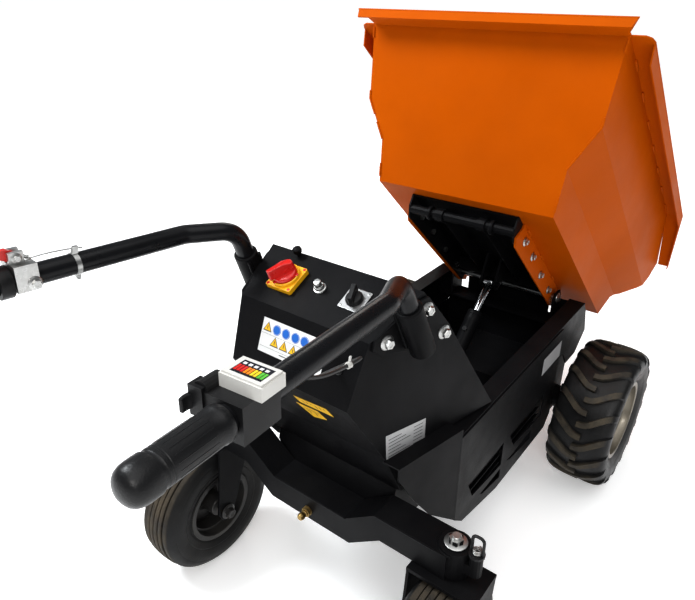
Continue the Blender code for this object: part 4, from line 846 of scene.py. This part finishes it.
# ---- Parking brake lever on the left handle: a folded zinc bracket saddles the tube, the red lever
# pivots in it over the grip, and a thin pull wire runs forward from it to a clip.
finish_node("lever_bracket", zinc, 0.0016, 3)
red_coat = surface("red_coat", (0.58, 0.012, 0.008), (0.47, 0.010, 0.008), (0.24, 0.36), grain=320,
    relief=0.00012, wear=0.5, wear_colour=(0.35, 0.33, 0.30), wear_width=0.0014, coat=0.3)
finish_node("brake_lever", red_coat, 0.0012, 3)
work = bmesh.new()
inward = handle_point(1, 0, -1, 0) - handle_point(1, 0, 0, 0)
hex_bolt(work, handle_point(1, 0.184, -0.0260, -0.003), inward, 7.2)
hex_bolt(work, handle_point(1, 0.169, -0.0130, 0.037), inward, 5.2)
hex_bolt(work, handle_point(1, 0.187, 0.000, 0.0280),
    handle_point(1, 0, 0, 1) - handle_point(1, 0, 0, 0), 4.2)
solid_piece("bracket_bolts", work, zinc, smooth=35)
work = bmesh.new()
turned_solid(work, [(17.8, 137), (24.8, 137), (25.4, 138.5), (25.4, 155.5), (24.8, 157), (17.8, 157)],
    handle_point(1, 0.0), handle_point(1, 1.0) - handle_point(1, 0.0), 36, ring=True)
solid_piece("lever_clamp_ring", work, black_moulding, bevel=0.0012)
work = bmesh.new()
tube_along(work, smooth_way([handle_point(1, 0.188, -0.004, 0.0290),
    handle_point(1, 0.215, -0.004, 0.0300), handle_point(1, 0.248, -0.004, 0.0285),
    handle_point(1, 0.272, -0.004, 0.0255)], 6), 0.0011, 10)
turned_solid(work, [(17.7, 254), (19, 254), (19, 262), (17.7, 262)], handle_point(1, 0.0),
    handle_point(1, 1.0) - handle_point(1, 0.0), 32, ring=True)
bent_plate(work, [handle_point(1, 0.253, -0.007, 0.0186), handle_point(1, 0.263, -0.007, 0.0186),
    handle_point(1, 0.265, -0.007, 0.0300), handle_point(1, 0.257, -0.007, 0.0310)],
    handle_point(1, 0, 0.006, 0) - handle_point(1, 0, 0, 0))
bent_plate(work, [handle_point(1, 0.254, -0.0045, -0.0186), handle_point(1, 0.264, -0.0045, -0.0186),
    handle_point(1, 0.262, -0.0030, -0.0275), handle_point(1, 0.258, -0.0030, -0.0275)],
    handle_point(1, 0, 0.006, 0) - handle_point(1, 0, 0, 0))
solid_piece("pull_wire", work, zinc, smooth=40)

# ---- Skip: a tub welded up from folded 3 mm sheet with a flanged rim, sprayed orange. Weld beads
# run up its rear corners and under the flange, and its bottom rim edges are rubbed by loads.
orange = surface("orange_paint", (0.53, 0.098, 0.0003), (0.46, 0.083, 0.0003), (0.38, 0.52), grain=240,
    relief=0.00022, waviness=1.0, wear=0.40, wear_colour=(0.42, 0.062, 0.002), wear_width=0.003, dust=0.05,
    dust_colour=(0.40, 0.16, 0.02), scratch=0.06, shine=0.03, blotch=2.6)
for name in ("skip_tub", "skip_bracket_left", "skip_bracket_right"):
    finish_node(name, orange, 0.0011, 2)
tip = [j for j in frame["joints"] if j["name"] == "skip_tip"][0]
hinge = Vector(tip["pos_m"])
TILT = math.radians(42.85)
along_skip = Vector((math.cos(TILT), 0.0, -math.sin(TILT)))
over_skip = Vector((math.sin(TILT), 0.0, math.cos(TILT)))
BANDS = [(0.0, 0.230), (0.088, 0.239), (0.166, 0.291), (0.440, 0.317)]
REAR_SLOPE, SPLAY, RIM_V, RIM_RISE, RIM_U = -0.63, 0.025, 0.3145, 0.052, -0.2477


def skip_point(u, v, y):
    """A point of the skip: u along its bottom, v square to it."""
    return hinge + along_skip * (u - 0.4835) + over_skip * (v + 0.033) + Vector((0, y, 0))


def side_of(u, v):
    """How far the skip's side stands out from its middle at that place."""
    for (v0, y0), (v1, y1) in zip(BANDS, BANDS[1:]):
        if v <= v1:
            return y0 + (y1 - y0) * (v - v0) / (v1 - v0) + SPLAY * u
    return BANDS[-1][1] + SPLAY * u


random.seed(7)
for word, s in SIDES:
    work = bmesh.new()
    runs = [[(REAR_SLOPE * v, v) for v in (0.010, 0.088)],
        [(REAR_SLOPE * v, v) for v in (0.088, 0.166)],
        [(REAR_SLOPE * v, v) for v in (0.166, 0.306)]]
    for (start, end), shares in zip(runs,
            (((0.0, 0.35),), ((0.0, 0.42), (0.62, 1.0)), ((0.0, 0.12), (0.86, 1.0)))):
        for first, last in shares:
            count = max(6, int((end[1] - start[1]) * (last - first) / 0.0022))
            bead = []
            for k in range(count + 1):
                t = first + (last - first) * k / count
                u, v = start[0] + (end[0] - start[0]) * t, start[1] + (end[1] - start[1]) * t
                bead.append(skip_point(u - 0.0008 + random.uniform(-0.0004, 0.0004), v,
                    s * (side_of(u, v) - 0.0006 + random.uniform(-0.0004, 0.0004))))
            tube_along(work, bead, 0.0026, 8)
    solid_piece("corner_welds_" + word, work, orange, "skip", smooth=60)
    work = bmesh.new()
    for k in range(7):
        u = -0.12 + 0.115 * k
        v = RIM_V + RIM_RISE * (u - RIM_U) - 0.005
        tube_along(work, [skip_point(u + 0.0032 * j, v + 0.0002 * j,
            s * (side_of(u, v) + 0.0012 + 0.0004 * (j % 2))) for j in range(12)], 0.0028, 8)
    for u in (0.10, 0.25, 0.40, 0.50):
        tube_along(work, [skip_point(u + 0.003 * j, -0.0012 - 0.0003 * (j % 2), s * 0.1495)
            for j in range(11)], 0.0026, 8)
    solid_piece("rim_welds_" + word, work, orange, "skip", smooth=60)
    work = bmesh.new()
    for u, v in ((0.202, -0.028), (0.311, -0.034), (0.115, -0.026), (0.420, -0.036)):
        hex_bolt(work, skip_point(u, v, s * 0.1482), (0, s, 0), 7.5)
        turned_solid(work, [(0, 0), (8.5, 0), (8.5, 6), (0, 6)],
            skip_point(u, v, s * 0.1392), (0, -s, 0), 6)
    solid_piece("bracket_bolts_" + word, work, zinc, "skip", smooth=35)

# ---- Tipping cradle and hinge: a black welded channel frame bolted between the two orange brackets.
# It turns on a zinc shaft through the frame's ears, and the lift cylinder pushes on its lugs.
finish_node("tipping_cradle", black_coat, 0.0009, 2)
finish_node("hinge_shaft", zinc, 0.0008, 2)
work = bmesh.new()
for s in (1, -1):
    turned_solid(work, [(12.5, 0), (17.5, 0), (18, 1), (18, 7), (17.5, 8), (12.5, 8)],
        skip_point(0.056, -0.032, s * 0.080), (0, s, 0), 28, ring=True)
    for k in range(9):
        spot = skip_point(0.500 - 0.006 * k, -0.0048, s * 0.070)
        turned_solid(work, [(0, -1), (3, -1), (2.2, 1.2), (0, 1.8)], spot, -over_skip, 10)
solid_piece("cradle_collars", work, black_coat, "skip", smooth=40)
work = bmesh.new()
for s in (1, -1):
    turned_solid(work, [(9, 0), (15, 0), (15.5, 0.5), (15, 2), (9, 2)],
        hinge + Vector((0, s * 0.1634, 0)), (0, s, 0), 28, ring=True)
solid_piece("hinge_washers", work, zinc, "skip", smooth=35)

# ---- Lift cylinder: a black barrel with a screwed gland, two hose ports and a chromed rod. The
# barrel's eye turns on a pin in the foot on the belly bar.
chrome = surface("hard_chrome", (0.72, 0.73, 0.74), (0.62, 0.63, 0.65), (0.05, 0.12), metal=1.0, grain=1200,
    relief=0.00003, scratch=0.25, wear=0.0, wear_colour=(0.5, 0.5, 0.5), dust=0.05)
base = box_middle("cylinder_foot_pin")
base.y = 0.0
eye = skip_point(0.377, -0.073, 0.0)
lift = (eye - base).normalized()
finish_node("cylinder_foot", black_coat)
finish_node("cylinder_foot_pin", zinc, 0.0006)
work = bmesh.new()
turned_solid(work, [(11, 126), (11, 302.5), (19.5, 302.5), (22.2, 300.5), (22.6, 298.5), (22.6, 290),
    (21.8, 289), (21.8, 287), (22.6, 286), (22.6, 270), (21.6, 268), (21.5, 30), (20, 18), (12, 16),
    (0, 16), (0, 126)], base, lift, 40)
barrel_eye = [(8.1, -15.8), (16.5, -15.8), (17, -15), (17, 15), (16.5, 15.8), (8.1, 15.8)]
turned_solid(work, barrel_eye, base, (0, 1, 0), 36, ring=True)
for share in (0.055, 0.240):
    port = base + lift * share
    out = Vector((-lift.z, 0.0, lift.x))
    turned_solid(work, [(0, 18), (7.5, 18), (7.5, 26), (0, 26)], port, out, 6)
barrel = solid_piece("lift_barrel", work, black_coat, "cylinder_barrel", smooth=35)
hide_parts("cylinder_barrel")
work = bmesh.new()
turned_solid(work, [(0, 205), (9.6, 205), (10, 204.5), (10, 12.5), (0, 12.5)], eye, -lift, 36)
turned_solid(work, [(7.9, -12.3), (15, -12.3), (15.5, -11.5), (15.5, 11.5), (15, 12.3), (7.9, 12.3)],
    eye, (0, 1, 0), 36, ring=True)
piston = solid_piece("lift_rod", work, chrome, "cylinder_rod", smooth=35)
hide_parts("cylinder_rod")

# ---- Battery and driven axle: a dark plastic case under the console, and the black axle with its
# gearbox and motor, hung from the rails.
battery_case = surface("battery_case", (0.030, 0.030, 0.034), (0.045, 0.045, 0.048), (0.45, 0.6), grain=480,
    relief=0.0003, dust=0.3, dust_colour=(0.16, 0.14, 0.12))
finish_node("battery_pack", battery_case, 0.004, 3)
finish_node("drive_axle", black_coat, 0.001)

# ---- Rear axle beam: a box beam with a kingpin tube at each end, held by a pivot with a brass-coloured
# grease nipple. Each swivel lock is a spring pin with a bent wire handle.
brass = surface("dull_brass", (0.36, 0.24, 0.075), (0.24, 0.16, 0.06), (0.30, 0.46), metal=1.0, grain=500,
    relief=0.00015, wear=0.5, wear_colour=(0.6, 0.45, 0.2), wear_width=0.001, dust=0.3)
finish_node("rear_axle_beam", black_coat, 0.0016, 3)
low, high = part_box("axle_pivot_pin")
middle = (low + high) / 2
work = bmesh.new()
turned_solid(work, [(0, 0), (11.5, 0), (11.5, 2.5), (10, 3), (10, 5), (11.5, 5.6), (11.5, 10), (10.5, 11),
    (0, 11)], Vector((high.x, middle.y, middle.z)), (-1, 0, 0), 6)
turned_solid(work, [(0, 10), (8, 10), (8.5, 13), (6.8, 15), (6.8, 18), (8.2, 20), (8.2, 24.5), (6, 29),
    (0, 29.6)], Vector((high.x, middle.y, middle.z)), (-1, 0, 0), 24)
nipple = solid_piece("pivot_nipple", work, brass, smooth=35)
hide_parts("axle_pivot_pin")
finish_node("reset_button", gloss_red, 0.0012, 3)
BACK_FACE = -0.435
KING_X, KING_Y = -0.400, 0.327
for word, s in SIDES:
    finish_node("swivel_lock_" + word, black_moulding, 0.0)
    work = bmesh.new()
    for start, end in (((0.0, 0.3563), (0.098, 0.3563)), ((0.170, 0.4103), (0.300, 0.4103))):
        count = 22
        tube_along(work, [at(BACK_FACE + 0.0006, s * (start[0] + (end[0] - start[0]) * k / count),
            start[1] + (end[1] - start[1]) * k / count - 0.0006 + 0.0003 * (k % 2))
            for k in range(count + 1)], 0.0018, 8)
    tube_along(work, [at(KING_X + 0.0318 * math.cos(a), s * KING_Y + 0.0318 * math.sin(a), 0.4098)
        for a in (math.radians((90 if s < 0 else -90) + 100 * (k / 20 - 0.5) * 2) for k in range(21))],
        0.0022, 8)
    solid_piece("beam_welds_" + word, work, black_coat, smooth=60)
    work = bmesh.new()
    spring = at(-0.404, s * 0.371, 0.420)
    tube_along(work, [spring + Vector((0.0075 * math.cos(a), 0.0075 * math.sin(a), 0.0006 * a))
        for a in (k * math.tau / 14 for k in range(57))], 0.0011, 8)
    solid_piece("lock_spring_" + word, work, zinc, smooth=60)

# ---- Casters: each welded fork swivels on a kingpin held by a nut on a thick washer. The pressed
# black wheel runs on a bolt axle and carries a ribbed tyre.
rim_black = surface("rim_black", (0.020, 0.020, 0.021), (0.035, 0.034, 0.032), (0.28, 0.42), metal=0.2,
    grain=300, relief=0.0002, wear=0.5, wear_colour=(0.14, 0.13, 0.12), wear_width=0.0025, dust=0.35,
    dust_colour=(0.10, 0.085, 0.070), coat=0.05, shine=0.25)


def tyre_mask(near, far, amount):
    """A mask over a tyre's own coordinates that grows towards its tread, broken up by noise."""
    def make(tree):
        flat = add(tree, "VectorMath", operation="MULTIPLY", in_0=own_place(tree), in_1=(1.0, 0.0, 1.0))
        length = add(tree, "VectorMath", operation="LENGTH", in_0=flat.outputs["Vector"]).outputs["Value"]
        patches = spread(tree, noise(tree, 26.0, 6.0, 0.65), 0.34, 0.60, 0.25)
        return times(tree, spread(tree, length, near, far, 0.0, amount), patches)
    return make


caster_rubber = surface("caster_rubber", (0.0075, 0.0075, 0.0080), (0.0120, 0.0115, 0.0110), (0.42, 0.60),
    grain=240, relief=0.0004, dust=0.15, dust_colour=(0.050, 0.042, 0.032), blotch=9.0, shine=0.2,
    mask=tyre_mask(0.1575, 0.1630, 0.85), mask_colour=(0.085, 0.068, 0.048), mask_rough=0.9)
for word, s in SIDES:
    finish_node("caster_fork_" + word, black_coat, 0.0012, 3)
    hub = box_middle("caster_tyre_" + word)
    half = [(82.5, 43.5), (90, 45), (92.5, 44), (95, 46.5), (108, 51.5), (110, 50.7), (113, 52),
        (126, 54.5), (138, 53.8), (139.5, 52.8), (142, 52.8), (150, 49), (156, 44), (158.8, 41)]
    tread = []
    for y0, y1, r in ((40, 28.5, 160.8), (25.5, 15.5, 163.8), (12.5, 1.5, 164.9)):
        tread += [(r - 0.5, y0), (r, y0 - 1), (r + 0.4, y1 + 1), (r, y1)]
        tread += [(r - 5, y1 - 0.4), (r - 5, y1 - 2.6)]
    tread = tread[:-2] + [(159.8, 1.2)]
    outline = half + tread
    outline += [(r, -y) for r, y in reversed(outline)]
    work = bmesh.new()
    turned_solid(work, outline, hub, (0, 1, 0), 96, ring=True)
    rubber = solid_piece("ribbed_tyre_" + word, work, caster_rubber, "caster_wheel_" + word, smooth=32,
        origin=hub)
    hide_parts("caster_tyre_" + word)
    work = bmesh.new()
    lip = [(81.7, 40), (81.7, 44.3), (88.5, 44.8), (89.7, 46.2), (89, 47.8), (79, 48), (77.5, 46.5),
        (76.5, 33), (73.5, 26), (70, 24)]
    disc = lip + [(60, 12), (52, 8), (43, 9.5), (35, 17), (27, 18), (26.2, 21), (24, 33), (22.8, 34.5),
        (15, 35), (14.5, 33), (9.2, 33)]
    back = [(9.2, -45), (24, -45), (25.5, -43), (26.2, 2), (35, 6), (52, 2), (61, 5), (69, 12)]
    back += [(r, -y) for r, y in reversed(lip)]
    turned_solid(work, disc + back, hub, (0, s, 0), 72, ring=True)
    for k in range(5):
        a = math.tau * k / 5
        spot = hub + Vector((0.0345 * math.cos(a), s * 0.0168, 0.0345 * math.sin(a)))
        hex_bolt(work, spot, (0, s, 0), 5.2)
    valve = hub + Vector((0.060, s * 0.0120, 0.020))
    turned_solid(work, [(0, 0), (4, 0), (3.2, 6), (2.8, 16), (3.4, 16.5), (3.4, 22), (0, 22.6)], valve,
        (0.25, s, 0.08), 16)
    wheel = solid_piece("caster_wheel_disc_" + word, work, rim_black, "caster_wheel_" + word, smooth=35)
    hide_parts("caster_rim_" + word)
    # Nuts on the kingpin and on both ends of the axle
    king = at(KING_X, s * KING_Y, 0.0)
    work = bmesh.new()
    turned_solid(work, [(0, 429), (12.5, 429), (13.8, 427.5), (13.8, 419.5), (0, 419.5)],
        king, (0, 0, 1), 6)
    turned_solid(work, [(0, 418), (21.5, 418), (21.8, 419), (20, 420), (0, 420)], king, (0, 0, 1), 36)
    turned_solid(work, [(0, 428.8), (8.8, 428.8), (8.8, 434), (7.8, 435), (0, 435)], king, (0, 0, 1), 24)
    solid_piece("caster_nuts_" + word, work, zinc, "caster_" + word, smooth=35)
    work = bmesh.new()
    for k in (1, -1):
        hex_bolt(work, hub + Vector((0, k * 0.0718, 0)), (0, k, 0), 12.8)
    solid_piece("axle_bolts_" + word, work, rim_black, "caster_" + word, smooth=35)

# ---- Driven wheels: pale pressed-steel rims with a dished disc, five studs and a valve, under wide
# tyres whose angled lugs stand in two staggered rows. Dried dirt clings to the lugs.
rim_silver = surface("rim_silver", (0.27, 0.245, 0.20), (0.18, 0.162, 0.132), (0.26, 0.40), metal=0.75,
    grain=260, relief=0.0002, wear=0.6, wear_colour=(0.62, 0.60, 0.56), wear_width=0.0022, dust=0.40,
    dust_colour=(0.20, 0.16, 0.115), scratch=0.15, coat=0.2)
lug_rubber = surface("lug_rubber", (0.0080, 0.0082, 0.0090), (0.0125, 0.0125, 0.0130), (0.28, 0.46),
    grain=260, relief=0.0005, dust=0.18, dust_colour=(0.050, 0.042, 0.030), blotch=8.0, shine=0.25,
    mask=tyre_mask(0.1905, 0.1995, 0.85), mask_colour=(0.080, 0.066, 0.046), mask_rough=0.85)
LUGS, LUG_TALL = 18, 0.0120
CROWN = [(0.0, 0.2030), (0.030, 0.2024), (0.056, 0.1998), (0.070, 0.1950), (0.078, 0.1880),
    (0.0815, 0.1790)]


def crown_radius(y):
    """The radius of the driven tyre's tread at a distance from its middle."""
    y = abs(y)
    for (y0, r0), (y1, r1) in zip(CROWN, CROWN[1:]):
        if y <= y1:
            return r0 + (r1 - r0) * (y - y0) / (y1 - y0)
    return CROWN[-1][1]


# One lug, unrolled: (distance from the tyre's middle, arc it trails by, half width)
LUG_LINE = [(-0.009, 0.000, 0.0090), (0.004, 0.001, 0.0094), (0.016, 0.0045, 0.0096),
    (0.028, 0.0125, 0.0096), (0.042, 0.0240, 0.0098), (0.056, 0.0350, 0.0102), (0.068, 0.0430, 0.0106),
    (0.0765, 0.0475, 0.0110), (0.0812, 0.0500, 0.0112)]
for word, s in SIDES:
    hub = box_middle("drive_tyre_" + word)
    half = [(108.5, 65.5), (117, 66.5), (119.5, 65.5), (122.5, 69), (138, 76), (140, 75.2), (143, 77.2),
        (160, 81.2), (162, 80.6), (165, 81.2), (175, 79), (182, 74), (187, 66), (189.3, 54), (190.4, 35),
        (190.8, 0)]
    outline = half + [(r, -y) for r, y in reversed(half[:-1])]
    work = bmesh.new()
    turned_solid(work, outline, hub, (0, 1, 0), 108, ring=True)
    for row in (1, -1):
        for k in range(LUGS):
            turn = math.tau * (k + (0.5 if row < 0 else 0.0)) / LUGS
            rings = []
            for i, (y, trail, wide) in enumerate(LUG_LINE):
                before, after = LUG_LINE[max(i - 1, 0)], LUG_LINE[min(i + 1, len(LUG_LINE) - 1)]
                slant = math.atan2(after[1] - before[1], after[0] - before[0])
                top, foot = crown_radius(y), crown_radius(y) - LUG_TALL - 0.004
                ring = []
                for r, share in ((foot, -1.25), (top, -0.80), (top, 0.80), (foot, 1.25)):
                    arc = trail + wide * share / math.cos(slant) * 0.9
                    a = turn - arc / 0.2
                    ring.append(work.verts.new(hub + Vector((-math.sin(a) * r, row * y, math.cos(a) * r))))
                rings.append(ring)
            for near, far in zip(rings, rings[1:]):
                for j in range(4):
                    n = (j + 1) % 4
                    work.faces.new((near[j], near[n], far[n], far[j]))
            work.faces.new(rings[0])
            work.faces.new(rings[-1])
    rubber = solid_piece("lug_tyre_" + word, work, lug_rubber, "drive_wheel_" + word, smooth=30, origin=hub)
    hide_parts("drive_tyre_" + word)
    work = bmesh.new()
    lip = [(107.7, 60), (107.7, 66), (114, 66.5), (114.8, 68), (114, 69.4), (104.5, 69.6), (103, 68),
        (102.5, 54), (100, 48), (90.5, 44), (89, 38)]
    disc = lip + [(88.5, 20), (84, 12), (76, 11), (70, 15), (64, 21), (54, 22.5), (37, 22), (36.5, 30),
        (33, 34.5), (20, 35), (15.2, 35)]
    back = [(15.2, -22), (33, -22), (35, -20), (36, 8), (54, 14), (64, 13), (76, 4), (86, 4), (87.5, -10)]
    back += [(r, -y) for r, y in reversed(lip)]
    turned_solid(work, disc + back, hub, (0, s, 0), 84, ring=True)
    wheel = solid_piece("driven_wheel_disc_" + word, work, rim_silver, "drive_wheel_" + word, smooth=35)
    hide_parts("drive_rim_" + word)
    work = bmesh.new()
    for k in range(5):
        a = math.tau * k / 5 + 0.3
        hex_bolt(work, hub + Vector((0.048 * math.cos(a), s * 0.0218, 0.048 * math.sin(a))), (0, s, 0), 8.5)
    turned_solid(work, [(0, 35), (13, 35), (13, 44), (11.5, 45.5), (0, 45.5)], hub, (0, s, 0), 6)
    turned_solid(work, [(0, 44), (7.5, 44), (7.5, 50), (6.8, 50.8), (0, 50.8)], hub, (0, s, 0), 20)
    valve = hub + Vector((0.0800, s * 0.0110, 0.020))
    turned_solid(work, [(0, 0), (4.5, 0), (3.4, 7), (3, 20), (3.6, 20.5), (3.6, 27), (0, 27.6)], valve,
        (0.12, s, 0.03), 16)
    solid_piece("wheel_nuts_" + word, work, zinc, "drive_wheel_" + word, smooth=35)
